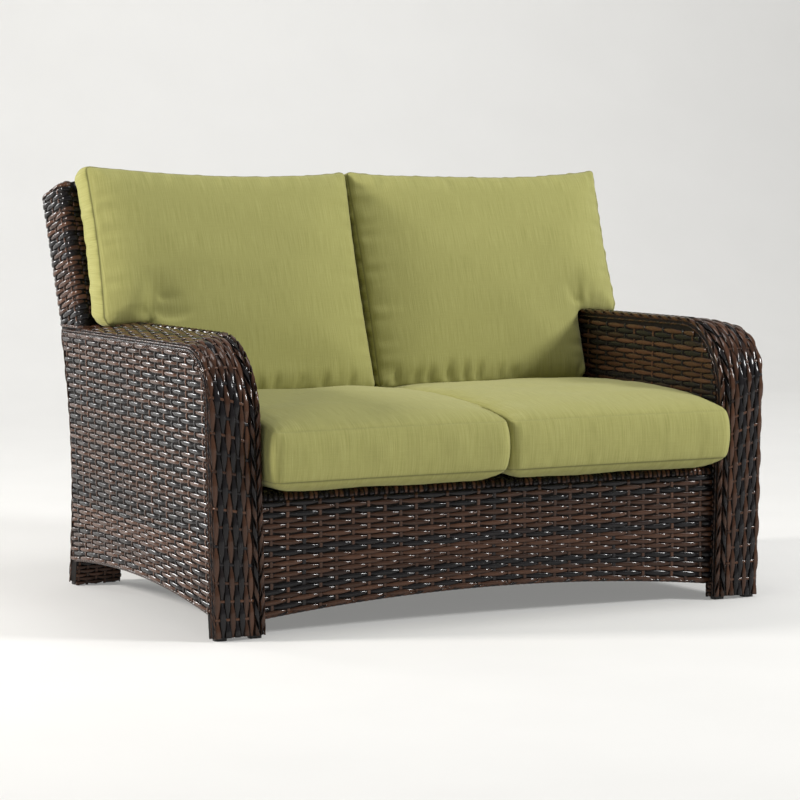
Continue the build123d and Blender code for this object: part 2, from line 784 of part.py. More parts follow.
def seat_section(depth, inset, rise, crown, belly):
    """The right seat cushion's cross-section at a depth, drawn in by inset."""
    low = seat_seam_low + inset
    high = seat_seam_high + rise - inset
    left = seat_inner + inset
    right = seat_outer - inset
    mid = (low + high) / 2
    with BuildSketch(front_plane.offset(-depth)) as section:
        with BuildLine():
            ThreePointArc((left + seat_waist, low), (seat_mid, low - belly), (right - seat_waist, low))
            ThreePointArc((right - seat_waist, low), (right, mid), (right - seat_waist, high))
            ThreePointArc((right - seat_waist, high), (seat_mid, high + crown), (left + seat_waist, high))
            ThreePointArc((left + seat_waist, high), (left, mid), (left + seat_waist, low))
        make_face()
    return section.sketch


def seat_cushion(inset):
    """The right seat cushion drawn in by inset."""
    run = seat_rear + seat_overhang - 2 * inset
    start = inset - seat_overhang
    with BuildPart() as body:
        for share, rise, crown, belly in (
            (0.0, 0.0, 0.5, 0.3),
            (0.2, 0.8, 0.9, 0.8),
            (0.5, 1.0, 1.0, 1.0),
            (0.8, 0.75, 0.8, 0.8),
            (1.0, 0.1, 0.4, 0.3),
        ):
            add(seat_section(
                start + share * run, inset, rise * seat_rise, crown * seat_crown, belly * seat_belly
            ))
        loft()
    with BuildPart() as front:
        for reach, narrow in ((0.0, 0.0), (0.7, 0.7), (1.0, 3.0)):
            add(seat_section(
                start - reach * (seat_puff - inset / 2),
                inset + narrow * seat_puff,
                0,
                0.5 * seat_crown,
                0.3 * seat_belly,
            ))
        loft()
    return body.part + front.part


def keep_cushion(shape, label):
    """The cover and the core of a cushion, on both sides."""
    whole = shape(0)
    keep_pair(whole - shape(cover), f"{label}_cushion_cover")
    keep_pair(shape(cover + core_gap), f"{label}_cushion_core")


keep_cushion(seat_cushion, "seat")

# Back cushions
cushion_inner = cushion_gap / 2
stem_outer = inner_face_x(cushion_low) - 2 * cushion_clearance
ear_across = arm_width / 2


def ear_floor(depth):
    """Height of the arm's crown at a depth, with a little room above it."""
    corner = corner_at(ear_across)
    drop = arm_fall * (depth - corner) / (shoulder_depth - corner)
    return arm_height - tilt_at(ear_across) - drop + seam


def up_rake(height, n):
    """Distance along the rake at which a point this far in front of the back has this height."""
    return (height - gauge_height - n * sin(rake)) / cos(rake)


back_swell = (back_gap_low + back_gap_high) / 2 - 4 * seam
ear_front = back_front(arm_height) - (back_gap_low + back_boxing) / cos(rake)


def back_section(u, inset, low_height, high_height, crown, swell, floor_sag):
    """The right back cushion's cross-section at a distance from the middle of the seat."""
    front = back_gap_low + back_boxing - inset
    rear = back_gap_low + inset
    shift = back_gap_high - back_gap_low
    high = up_rake(high_height, (front + rear + shift) / 2) - inset
    low_front = up_rake(low_height, front) + inset
    low_rear = up_rake(low_height - arm_fall / 8, rear) + inset
    middle = (low_front + high) / 2
    with BuildSketch(Plane(back_plane.location * Pos(u, 0, 0) * Rot(0, 90, 0))) as section:
        with BuildLine():
            ThreePointArc(
                (-rear, low_rear), (-(front + rear) / 2, (low_front + low_rear) / 2 - floor_sag), (-front, low_front)
            )
            ThreePointArc((-front, low_front), (-(front + shift / 2 + crown), middle), (-(front + shift), high))
            ThreePointArc(
                (-(front + shift), high), (-((front + rear) / 2 + shift), high + skin), (-(rear + shift), high)
            )
            ThreePointArc((-(rear + shift), high), (-(rear + shift / 2 - swell), middle), (-rear, low_rear))
        make_face()
    return section.sketch


def back_cushion(inset):
    """The right back cushion drawn in by inset: a stem between the arms and an ear over the arm."""
    start = cushion_inner + inset
    run = stem_outer - inset - start
    with BuildPart() as stem:
        for share, lift, rise, crown, swell in (
            (0.0, 6, 4, 0.4, 0.6),
            (0.25, 0, 0, 0.9, 0.95),
            (0.55, 0, 1, 1.0, 1.0),
            (0.85, 2, 5, 0.8, 0.95),
            (1.0, 8, 8, 0.6, 0.9),
        ):
            add(back_section(
                start + share * run,
                inset,
                cushion_low + lift,
                cushion_top + rise,
                crown * back_crown,
                swell * back_swell,
                third,
            ))
        loft()
    ear_start = stem_outer - 2 * back_swell
    ear_run = ear_half - inset - ear_start
    with BuildPart() as ear:
        for share, rise, crown, swell in ((0.0, 0.4, 0.5, 0.7), (0.6, 0.7, 0.4, 0.6), (1.0, 1.0, 0.15, 0.3)):
            add(back_section(
                ear_start + share * ear_run,
                inset,
                ear_floor(ear_front) + seam,
                cushion_top + rise * (cushion_peak - cushion_top),
                crown * back_crown,
                swell * back_swell,
                seam,
            ))
        loft()
    return stem.part + ear.part


keep_cushion(back_cushion, "back")
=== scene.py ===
import bpy
import json
import numpy as np
from math import cos, pi, radians, sin, sqrt
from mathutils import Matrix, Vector


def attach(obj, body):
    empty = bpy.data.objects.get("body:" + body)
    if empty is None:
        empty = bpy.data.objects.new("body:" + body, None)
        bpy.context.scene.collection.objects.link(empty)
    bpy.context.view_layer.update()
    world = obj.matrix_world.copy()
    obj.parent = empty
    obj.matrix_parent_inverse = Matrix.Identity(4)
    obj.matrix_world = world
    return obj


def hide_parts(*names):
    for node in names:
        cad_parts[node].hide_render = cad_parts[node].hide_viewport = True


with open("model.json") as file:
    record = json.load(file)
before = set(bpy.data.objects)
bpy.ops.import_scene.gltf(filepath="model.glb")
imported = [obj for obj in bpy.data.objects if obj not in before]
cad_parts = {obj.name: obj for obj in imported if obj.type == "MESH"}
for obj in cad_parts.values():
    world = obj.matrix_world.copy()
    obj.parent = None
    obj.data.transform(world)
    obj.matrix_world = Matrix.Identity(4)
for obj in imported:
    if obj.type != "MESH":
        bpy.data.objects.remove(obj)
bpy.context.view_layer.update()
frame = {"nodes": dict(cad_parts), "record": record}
scene = bpy.context.scene

# Sizes in millimetres, from the solids; depths run back from the front of the legs.
frontY = -455.705
lean = radians(1.26)  # of the arms, outwards
rake = radians(18.1)  # of the back
rowPitch = 11.7
halfInside = 554.5  # from the middle to an arm, at the apron
armFoot = 553.5  # the same on the floor
armWide = 111.0
backDepth, backLevel = 763, 644  # a spot on the front of the back, from which its rake is measured
archShape = {"apron": 33, "rear": 43, "side": 26}  # rise of the arches along the floor
sides = {"left": -1, "right": 1}


# A steady value from 0 to 1 for some numbers.
def hashed(*keys):
    mixed = sum(np.asarray(k, float) * f for k, f in zip(keys, (12.9898, 78.233, 37.719, 9.151)))
    return np.mod(np.sin(mixed + 4.1) * 43758.5453, 1.0)


# Depth of the bowed rear edge of the sides at a height.
def rearDepth(height):
    (x1, y1), (x2, y2), (x3, y3) = (894, 0), (852, 335), (900, 620)
    a = x1 * (y2 - y3) - y1 * (x2 - x3) + x2 * y3 - x3 * y2
    q1, q2, q3 = x1 * x1 + y1 * y1, x2 * x2 + y2 * y2, x3 * x3 + y3 * y3
    centreX = -(q1 * (y3 - y2) + q2 * (y1 - y3) + q3 * (y2 - y1)) / (2 * a)
    centreY = -(q1 * (x2 - x3) + q2 * (x3 - x1) + q3 * (x1 - x2)) / (2 * a)
    radius = sqrt((x1 - centreX) ** 2 + (y1 - centreY) ** 2)
    return centreX - np.sqrt(radius**2 - (height - centreY) ** 2)


def armPoint(side, depth, up, across):
    x = armFoot + up * sin(lean) + across * cos(lean)
    z = up * cos(lean) - across * sin(lean)
    return np.stack([side * x, frontY + depth + 0 * x, z + 0 * x], -1)


# A point on the raked back: across, up the rake, and forward of its front face.
def backPoint(u, v, n):
    y = frontY + backDepth + v * sin(rake) - n * cos(rake)
    return np.stack([u + 0 * y, y, backLevel + v * cos(rake) + n * sin(rake)], -1)


# Where a height lies up the rake.
def upRake(height, n):
    return (height - backLevel - n * sin(rake)) / cos(rake)


# A smooth mesh object from points in millimetres and quads.
def makeObject(name, verts, quads):
    mesh = bpy.data.meshes.new(name)
    mesh.from_pydata((np.asarray(verts) / 1000).tolist(), [], np.asarray(quads).tolist())
    mesh.polygons.foreach_set("use_smooth", np.ones(len(mesh.polygons), bool))
    mesh.update()
    made = bpy.data.objects.new(name, mesh)
    scene.collection.objects.link(made)
    return made


# Strands: flat ovals of eight corners, which know how far along, how far across and what tone they are.
ringAcross = np.array([-1, -0.77, -0.3, 0.3, 0.77, 1, 0.55, -0.55])
ringUp = np.array([0.0, 0.68, 1.0, 1.0, 0.68, 0.0, -0.7, -0.7])
ringMark = np.array([-1, -0.7, -0.3, 0.3, 0.7, 1, 0.4, -0.4])


# What every weave starts from. Rows swell to rowHalf on top of a stake and shrink to the share narrow below it;
# swing is their rise, sharp and early shape it, waver and drift bring them off their level, and steps are the
# places along a row that get a ring.
strandLook = {
    "rowHalf": 6.2, "narrow": 0.5, "stakeHalf": 4.4, "swing": 1.9, "sharp": 2.4, "early": 0.62, "thick": 2.2,
    "waver": 1.1, "drift": 0.7, "tones": None, "steps": (0, 0.1, 0.21, 0.36, 0.5, 0.64, 0.79, 0.9),
}
evenSteps = (0, 0.13, 0.3, 0.5, 0.7, 0.87)


def newBag():
    return {"verts": [], "quads": [], "grain": [], "count": 0}


def addStrand(bag, points, normals, half, lift, tone, thick=1.5, start=0.0):
    count = len(points)
    along = np.gradient(points, axis=0)
    along /= np.linalg.norm(along, axis=1)[:, None] + 1e-9
    across = np.cross(normals, along)
    across /= np.linalg.norm(across, axis=1)[:, None] + 1e-9
    half = half + np.zeros(count)
    lift = lift + np.zeros(count)
    ring = (
        points[:, None, :]
        + normals[:, None, :] * (lift[:, None] + ringUp[None] * thick)[..., None]
        + across[:, None, :] * (half[:, None] * ringAcross[None])[..., None]
    )
    base = bag["count"] + 8 * np.arange(count - 1)[:, None] + np.arange(8)[None]
    after = bag["count"] + 8 * np.arange(count - 1)[:, None] + (np.arange(8) + 1)[None] % 8
    bag["quads"].append(np.stack([base, base + 8, after + 8, after], -1).reshape(-1, 4))
    first, last = bag["count"], bag["count"] + 8 * (count - 1)
    cap = np.array([[0, 1, 2, 7], [7, 2, 3, 6], [6, 3, 4, 5]])
    bag["quads"] += [first + cap, last + cap[:, ::-1]]
    bag["verts"].append(ring.reshape(-1, 3))
    run = start + np.concatenate([[0], np.cumsum(np.linalg.norm(np.diff(points, axis=0), axis=1))])
    grain = np.zeros((count, 8, 3))
    grain[..., 0] = run[:, None] / 1000
    grain[..., 1] = ringMark[None]
    grain[..., 2] = (tone + np.zeros(count))[:, None]
    bag["grain"].append(grain.reshape(-1, 3))
    bag["count"] += 8 * count


def finishBag(bag, name, body="frame"):
    made = makeObject(name, np.concatenate(bag["verts"]), np.concatenate(bag["quads"]))
    grain = made.data.attributes.new("grain", "FLOAT_VECTOR", "POINT")
    grain.data.foreach_set("vector", np.concatenate(bag["grain"]).ravel())
    made.data.materials.append(strandFinish)
    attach(made, body)
    return made


# The surface's outward direction, from small steps on it.
def facing(place, sign, u, v):
    du = place(u + 1.5, v) - place(u - 1.5, v)
    dv = place(u, v + 1.5) - place(u, v - 1.5)
    normal = np.cross(du, dv) * sign
    return normal / (np.linalg.norm(normal, axis=1)[:, None] + 1e-9)


# Rows that pass over and under stakes on a surface. span gives where a row starts and ends.
def weave(bag, place, sign, rows, span, pitch, shift=None, seed=0, **changes):
    look = {**strandLook, **changes}
    steps = np.array(look["steps"])
    swing = look["swing"]
    crossings = {}
    for r, v in enumerate(rows):
        low, high = span(v)
        if high - low < 6:
            continue
        first, last = int(np.floor(low / pitch)) - 1, int(np.ceil(high / pitch)) + 1
        marks = ((np.arange(first, last)[:, None] + steps[None]) * pitch).ravel()
        marks = marks[(marks > low + 1.5) & (marks < high - 1.5)]
        u = np.concatenate([[low], marks, [high]])
        level = v + (shift(u, r) if shift else 0) + look["waver"] * (hashed(r, seed) - 0.5)
        level = level + look["drift"] * np.sin(u / 61 + 9 * hashed(r, seed, 2))
        turn = np.cos(pi * (u / pitch + r))
        floatNo = np.floor((u / pitch + r + 1) / 2)
        tone = look["tones"](r, u) if look["tones"] else hashed(r, seed, 3)
        tone = 0.88 * tone + 0.12 * hashed(floatNo, r, seed)
        wide = look["narrow"] + (1 - look["narrow"]) * np.sqrt(np.clip(0.5 + 0.5 * turn, 0, 1))
        wide = look["rowHalf"] * wide
        wide = wide * (0.95 + 0.08 * hashed(floatNo, r, seed + 5))
        lift = swing * (np.tanh(look["sharp"] * (turn + look["early"])) - 0.3)
        lift = lift + 0.5 * hashed(floatNo, r, seed + 9) * (turn > 0)
        points, normals = place(u, level), facing(place, sign, u, level)
        addStrand(bag, points, normals, wide, lift, tone, look["thick"], 900 * hashed(r, seed))
        for k in range(int(np.ceil((low + 2) / pitch)), int(np.floor((high - 2) / pitch)) + 1):
            uk = np.array([k * pitch])
            lev = v + (shift(uk, r)[0] if shift else 0)
            crossings.setdefault(k, []).append((r, lev))
    for k, spots in crossings.items():
        run = []
        for spot in spots:
            if run and spot[0] != run[-1][0] + 1:
                addStake(bag, place, sign, k, run, pitch, look["stakeHalf"], swing, seed)
                run = []
            run.append(spot)
        addStake(bag, place, sign, k, run, pitch, look["stakeHalf"], swing, seed)


def addStake(bag, place, sign, k, run, pitch, half, swing, seed):
    if len(run) < 2:
        return
    level = np.array([s[1] for s in run], float)
    order = np.array([s[0] for s in run])
    ends = np.array([level[0] - rowPitch / 2, level[-1] + rowPitch / 2])
    turn = -np.cos(pi * (k + order))
    level = np.concatenate([[ends[0]], level, [ends[1]]])
    turn = np.concatenate([[0], turn, [0]])
    u = k * pitch + 0.9 * np.sin(level / 43 + 7 * hashed(k, seed)) + 0 * level
    tone = 0.25 + 0.75 * hashed(k, seed, 7)
    addStrand(bag, place(u, level), facing(place, sign, u, level), half, 0.5 * swing * (turn - 0.1), tone, 1.3)


# Strands twisted about a line.
def addCord(bag, points, normals, radius, lay, strands, half, seed=0, thick=1.0):
    along = np.gradient(points, axis=0)
    along /= np.linalg.norm(along, axis=1)[:, None] + 1e-9
    across = np.cross(normals, along)
    run = np.concatenate([[0], np.cumsum(np.linalg.norm(np.diff(points, axis=0), axis=1))])
    for index in range(strands):
        angle = 2 * pi * (run / lay + index / strands)
        outward = normals * np.cos(angle)[:, None] + across * np.sin(angle)[:, None]
        addStrand(bag, points + outward * radius, outward, half, 0, 0.2 + 0.6 * hashed(index, seed), thick)


# Finishes
def newFinish(name, color, rough):
    made = bpy.data.materials.new(name)
    made.use_nodes = True
    shader = made.node_tree.nodes["Principled BSDF"]
    shader.inputs["Base Color"].default_value = (*color, 1)
    shader.inputs["Roughness"].default_value = rough
    return made, made.node_tree, shader


def addNode(tree, kind, **values):
    node = tree.nodes.new(kind)
    for key, value in values.items():
        if key in node.inputs:
            node.inputs[key].default_value = value
        else:
            setattr(node, key, value)
    return node


def mathNode(tree, operation, a, b=0.0, clamp=False):
    node = tree.nodes.new("ShaderNodeMath")
    node.operation = operation
    node.use_clamp = clamp
    for slot, value in ((0, a), (1, b)):
        if isinstance(value, (int, float)):
            node.inputs[slot].default_value = value
        else:
            tree.links.new(value, node.inputs[slot])
    return node.outputs[0]


def mixColor(tree, factor, a, b, kind="MIX"):
    node = tree.nodes.new("ShaderNodeMix")
    node.data_type = "RGBA"
    node.blend_type = kind
    for slot, value in ((0, factor), (6, a), (7, b)):
        if isinstance(value, (int, float)):
            node.inputs[slot].default_value = value
        elif isinstance(value, tuple):
            node.inputs[slot].default_value = (*value, 1)
        else:
            tree.links.new(value, node.inputs[slot])
    return node.outputs[2]


def rampNode(tree, factor, stops):
    node = tree.nodes.new("ShaderNodeValToRGB")
    ramp = node.color_ramp
    while len(ramp.elements) < len(stops):
        ramp.elements.new(0.5)
    for element, (place, color) in zip(ramp.elements, stops):
        element.position = place
        element.color = (*color, 1)
    tree.links.new(factor, node.inputs["Fac"])
    return node.outputs["Color"]


strandFinish, tree, shader = newFinish("resin strand", (0.04, 0.025, 0.02), 0.36)
grainIn = addNode(tree, "ShaderNodeAttribute", attribute_name="grain")
split = tree.nodes.new("ShaderNodeSeparateXYZ")
tree.links.new(grainIn.outputs["Vector"], split.inputs[0])
lines = tree.nodes.new("ShaderNodeCombineXYZ")
tree.links.new(mathNode(tree, "MULTIPLY", split.outputs["X"], 26.0), lines.inputs["X"])
tree.links.new(mathNode(tree, "MULTIPLY", split.outputs["Y"], 3.4), lines.inputs["Y"])
tree.links.new(mathNode(tree, "MULTIPLY", split.outputs["Z"], 37.0), lines.inputs["Z"])
drawn = addNode(tree, "ShaderNodeTexNoise", Scale=2.3, Detail=4.0, Roughness=0.6)
tree.links.new(lines.outputs[0], drawn.inputs["Vector"])
toned = rampNode(tree, split.outputs["Z"], (
    (0.0, (0.007, 0.007, 0.008)), (0.36, (0.013, 0.011, 0.012)),
    (0.45, (0.04, 0.018, 0.010)), (1.0, (0.1, 0.046, 0.026)),
))
streaked = mixColor(tree, 0.55, toned, rampNode(tree, drawn.outputs["Fac"], (
    (0.3, (0.45, 0.45, 0.45)), (0.7, (1.5, 1.45, 1.4)),
)), "MULTIPLY")
# Painted shade: each strand darkens towards its edges, standing in for the shade where it dips into the gaps of the
# weave.
edge = mathNode(tree, "POWER", mathNode(tree, "ABSOLUTE", split.outputs["Y"]), 2.4)
edgeShaded = mixColor(tree, mathNode(tree, "MULTIPLY", edge, 0.92), streaked, (0.006, 0.005, 0.005))
tree.links.new(edgeShaded, shader.inputs["Base Color"])
uneven = mathNode(tree, "MULTIPLY", drawn.outputs["Fac"], 0.2)
tree.links.new(mathNode(tree, "ADD", uneven, 0.16), shader.inputs["Roughness"])
dent = addNode(tree, "ShaderNodeBump", Strength=0.35, Distance=0.0006)
tree.links.new(drawn.outputs["Fac"], dent.inputs["Height"])
tree.links.new(dent.outputs[0], shader.inputs["Normal"])
shader.inputs["Specular IOR Level"].default_value = 0.07
shader.inputs["Coat Weight"].default_value = 0.4
shader.inputs["Coat Roughness"].default_value = 0.07

clothFinish, tree, shader = newFinish("cushion cloth", (0.33, 0.32, 0.11), 0.85)
clothIn = addNode(tree, "ShaderNodeAttribute", attribute_name="cloth")
split = tree.nodes.new("ShaderNodeSeparateXYZ")
tree.links.new(clothIn.outputs["Vector"], split.inputs[0])


def stretched(alongX, alongY):
    vector = tree.nodes.new("ShaderNodeCombineXYZ")
    tree.links.new(mathNode(tree, "MULTIPLY", split.outputs["X"], alongX), vector.inputs["X"])
    tree.links.new(mathNode(tree, "MULTIPLY", split.outputs["Y"], alongY), vector.inputs["Y"])
    tree.links.new(split.outputs["Z"], vector.inputs["Z"])
    return vector.outputs[0]


slub = addNode(tree, "ShaderNodeTexNoise", Scale=1.0, Detail=3.0, Roughness=0.65)
tree.links.new(stretched(560.0, 13.0), slub.inputs["Vector"])
cross = addNode(tree, "ShaderNodeTexNoise", Scale=1.0, Detail=2.0, Roughness=0.6)
tree.links.new(stretched(22.0, 520.0), cross.inputs["Vector"])
threads = addNode(tree, "ShaderNodeTexNoise", Scale=1.0, Detail=1.0)
tree.links.new(stretched(1300.0, 1300.0), threads.inputs["Vector"])
yarn = mixColor(tree, 1.0, (0.33, 0.32, 0.11), rampNode(tree, slub.outputs["Fac"], (
    (0.3, (0.86, 0.87, 0.8)), (0.52, (1.0, 1.0, 1.0)), (0.74, (1.15, 1.14, 1.24)),
)), "MULTIPLY")
yarn = mixColor(tree, 0.22, yarn, rampNode(tree, cross.outputs["Fac"], (
    (0.35, (0.88, 0.88, 0.86)), (0.7, (1.12, 1.12, 1.15)),
)), "MULTIPLY")
# Painted shade along the seams: the cloth darkens within a few millimetres of each seam, as if shaded in its groove.
seamShadeIn = addNode(tree, "ShaderNodeAttribute", attribute_name="seamShadeDistance")
dark = mathNode(tree, "POWER", 2.718, mathNode(tree, "MULTIPLY", seamShadeIn.outputs["Fac"], -0.9))
seamShaded = mixColor(tree, mathNode(tree, "MULTIPLY", dark, 0.7), yarn, (0.05, 0.05, 0.015))
tree.links.new(seamShaded, shader.inputs["Base Color"])
height = mathNode(tree, "ADD", cross.outputs["Fac"], threads.outputs["Fac"])
height = mathNode(tree, "ADD", slub.outputs["Fac"], height)
dent = addNode(tree, "ShaderNodeBump", Strength=0.3, Distance=0.0007)
tree.links.new(height, dent.inputs["Height"])
tree.links.new(dent.outputs[0], shader.inputs["Normal"])
uneven = mathNode(tree, "MULTIPLY", cross.outputs["Fac"], 0.15)
tree.links.new(mathNode(tree, "ADD", uneven, 0.75), shader.inputs["Roughness"])
shader.inputs["Sheen Weight"].default_value = 0.08
shader.inputs["Specular IOR Level"].default_value = 0.15


# Wear that several finishes share: two colours mixed by noise, which also moves the roughness
wear = bpy.data.node_groups.new("wear", "ShaderNodeTree")
for label, kind in (("Dark", "Color"), ("Light", "Color"), ("Scale", "Float"), ("Rough", "Float")):
    wear.interface.new_socket(label, in_out="INPUT", socket_type="NodeSocket" + kind)
for label, kind in (("Color", "Color"), ("Roughness", "Float"), ("Normal", "Vector")):
    wear.interface.new_socket(label, in_out="OUTPUT", socket_type="NodeSocket" + kind)
given = wear.nodes.new("NodeGroupInput")
result = wear.nodes.new("NodeGroupOutput")
where = wear.nodes.new("ShaderNodeTexCoord")
noise = addNode(wear, "ShaderNodeTexNoise", Detail=5.0)
wear.links.new(where.outputs["Object"], noise.inputs["Vector"])
wear.links.new(given.outputs["Scale"], noise.inputs["Scale"])
share = mathNode(wear, "DIVIDE", mathNode(wear, "SUBTRACT", noise.outputs["Fac"], 0.35), 0.35, True)
wear.links.new(mixColor(wear, share, given.outputs["Dark"], given.outputs["Light"]), result.inputs["Color"])
shift = mathNode(wear, "SUBTRACT", mathNode(wear, "MULTIPLY", noise.outputs["Fac"], 0.2), 0.1)
wear.links.new(mathNode(wear, "ADD", shift, given.outputs["Rough"]), result.inputs["Roughness"])
dent = addNode(wear, "ShaderNodeBump", Strength=0.15, Distance=0.0004)
wear.links.new(noise.outputs["Fac"], dent.inputs["Height"])
wear.links.new(dent.outputs[0], result.inputs["Normal"])


def plainFinish(name, dark, light, rough, metal=0.0, scale=60.0):
    made, tree, shader = newFinish(name, dark, rough)
    shader.inputs["Metallic"].default_value = metal
    worn = addNode(tree, "ShaderNodeGroup", node_tree=wear)
    worn.inputs["Dark"].default_value = (*dark, 1)
    worn.inputs["Light"].default_value = (*light, 1)
    worn.inputs["Scale"].default_value = scale
    worn.inputs["Rough"].default_value = rough
    tree.links.new(worn.outputs["Color"], shader.inputs["Base Color"])
    tree.links.new(worn.outputs["Roughness"], shader.inputs["Roughness"])
    tree.links.new(worn.outputs["Normal"], shader.inputs["Normal"])
    return made


# The wicker solids under the strands get a near-black finish: painted shade for the gaps between and behind the
# strands.
gapShadeFinish = plainFinish("shadowed resin", (0.004, 0.0035, 0.0035), (0.014, 0.01, 0.008), 0.6, 0.0, 160.0)
gapShadeFinish.node_tree.nodes["Principled BSDF"].inputs["Specular IOR Level"].default_value = 0.08
finishes = {
    "resin_wicker": gapShadeFinish,
    "frame_metal": plainFinish("powder coat", (0.018, 0.015, 0.013), (0.03, 0.026, 0.022), 0.5),
    "steel_fastener": plainFinish("zinc", (0.3, 0.3, 0.31), (0.45, 0.45, 0.45), 0.35, 1.0, 200.0),
    "glide_plastic": plainFinish("moulded plastic", (0.012, 0.012, 0.012), (0.02, 0.02, 0.02), 0.55),
    "webbing": plainFinish("elastic strap", (0.02, 0.02, 0.019), (0.035, 0.034, 0.03), 0.85, 0.0, 400.0),
    "cushion_foam": plainFinish("filling", (0.75, 0.72, 0.62), (0.85, 0.82, 0.74), 0.9, 0.0, 90.0),
}
slots = {part["node"]: part["material_slot"] for part in frame["record"]["subparts"]}
for node, solid in frame["nodes"].items():
    if slots[node] in finishes:
        solid.data.materials.clear()
        solid.data.materials.append(finishes[slots[node]])
print("finishes made")

# Arms: the band's cross-section as across and inset, from the outer border to the inner one
bandAcross = np.array([111.5, 111.0, 107.0, 55.5, 4.0, 0.0, -0.5])
bandInset = np.array([20.0, 12.0, 3.6, 0.0, 3.6, 12.0, 20.0])
bandRun = np.concatenate([[0], np.cumsum(np.hypot(np.diff(bandAcross), np.diff(bandInset)))])


bandFront, bandCorner, bandTop = 475, 230, 745  # lengths of the band's runs


# The corner's radius and the top's height change across the arm.
def cornerRadius(across):
    return 175 - 57 * across / armWide


def topHeight(across):
    return 628 - 14 * (across / armWide) ** 2


# The band: up the front, over the corner and back along the top.
def bandPlace(side):
    def place(p, q):
        across = np.interp(q, bandRun, bandAcross)
        inset = np.interp(q, bandRun, bandInset)
        radius = cornerRadius(across)
        height = topHeight(across)
        rise = np.clip(p / bandFront, 0, 1)
        turn = pi * (1 - 0.5 * np.clip((p - bandFront) / bandCorner, 0, 1))
        back = np.clip((p - bandFront - bandCorner) / bandTop, 0, 1.2)
        end = rearDepth(height - inset - 8) - inset
        depth = radius + (radius - inset) * np.cos(turn) + (end - radius) * back
        onFront = 8 + (height - radius - 8) * rise
        up = np.where(p < bandFront, onFront, height - radius + (radius - inset) * np.sin(turn))
        return armPoint(side, depth, up - 8 * back, across)
    return place


# Charcoal in the middle of the front, brown along its edges and over the top.
def bandTone(r, u):
    front, top = armBand["front"][r], armBand["top"][r]
    return front + (top - front) * np.clip((u - 520) / 90, 0, 1)


# The rear face of the arm and leg: up, and across with its returns onto the sides.
def rearPlace(side):
    def place(p, q):
        across = np.interp(q, bandRun, bandAcross)
        inset = np.interp(q, bandRun, bandInset)
        return armPoint(side, rearDepth(p) - inset, p, across)
    return place


def sidePlace(side, across):
    return lambda s, t: armPoint(side, s, t, across + 0 * s)


# Depth where the band's inner border lies at a height of the side.
def cornerStart(t, across, inset):
    radius = cornerRadius(across)
    centre = topHeight(across) - radius
    if t <= centre:
        return inset
    lift = min(t - centre, radius - inset)
    return radius - sqrt(max((radius - inset) ** 2 - lift**2, 0))


def sideArch(u):
    return 4 * (u - 42) / 804 + archShape["side"] * np.clip(1 - ((u - 444) / 402) ** 2, 0, 1)


def frontCuffPlace(side):
    def place(u, v):
        toe = 38 + 4 * np.clip(v / 57, 0, 1)
        depth = np.minimum(20.3 + u, toe)
        return armPoint(side, depth, v, np.clip(u - 22, 0, armWide))
    return place


def rearCuffPlace(side):
    def place(u, v):
        depth = rearDepth(v) - np.minimum(20.3 + u, 48)
        return armPoint(side, depth, v, np.clip(u - 28, 0, armWide))
    return place


# One dictionary for each piece of the arm: where its rows start, how many there are, how far apart its stakes are.
# look changes strandLook. A cord is its radius, lay, number of strands, half width, seed and thickness.
armOuter = {
    "low": 64, "rows": 47, "pitch": 42.5, "top": 600, "archRows": 13, "cord": (2.4, 44, 3, 3.0, 8),
    "look": {"rowHalf": 5.3, "narrow": 0.62, "thick": 2.4},
}
# The inner panels' strand tones are scaled down by tone, towards charcoal: painted shade for these panels.
armInner = {"low": 256, "rows": 30, "pitch": 42.5, "top": 602, "tone": 0.85}
armBand = {
    "strands": 8, "pitch": 38.0, "length": 1440,
    "front": (0.75, 0.3, 0.16, 0.62, 0.22, 0.1, 0.56, 0.8),  # tones from charcoal, 0, to light brown, 1
    "top": (0.8, 0.6, 0.95, 0.3, 0.75, 0.9, 0.5, 0.85),
    "look": {
        "rowHalf": 6.9, "narrow": 0.35, "stakeHalf": 3.4, "swing": 1.5, "sharp": 1.2, "early": 0.3, "thick": 1.9,
        "tones": bandTone, "steps": (0, 0.16, 0.33, 0.5, 0.67, 0.84),
    },
    "twists": ((31, (3.2, 84, 2, 5.0, 4, 2.0)), (17, (3.2, -84, 2, 5.0, 5, 2.0))),  # from the inner border
    "borders": ((6.0, 1), (11.5, 3), (bandRun[-1] - 4.5, 2)),
}
armEdge = {"cords": ((-1.5, 31, 5), (3.2, 37, 6)), "radius": 1.3, "half": 1.2}
armRear = {
    "strands": 11, "pitch": 38.0, "low": 9,
    "look": {
        "rowHalf": 6.7, "narrow": 0.35, "stakeHalf": 3.4, "swing": 1.4, "sharp": 1.2, "early": 0.3, "thick": 1.9,
        "steps": (0, 0.25, 0.5, 0.75),
    },
}
legCuffs = {
    "low": 9, "rise": 9.3, "rows": 25, "pitch": 22.0,
    "look": {"rowHalf": 4.9, "stakeHalf": 3.6, "swing": 1.4, "thick": 1.6},
}


# Height at which the strands of the rear face end, below the top's crown.
def rearTop(q):
    top = topHeight(np.interp(q, bandRun, bandAcross))
    return max(590, top - 15 - np.interp(q, bandRun, bandInset))


# Rows on a side run from the band's border to the rear face, up to a height.
def sideSpan(across, top):
    return lambda t: (cornerStart(t, across, 22), (rearDepth(t) - 21) if t < top else 0)


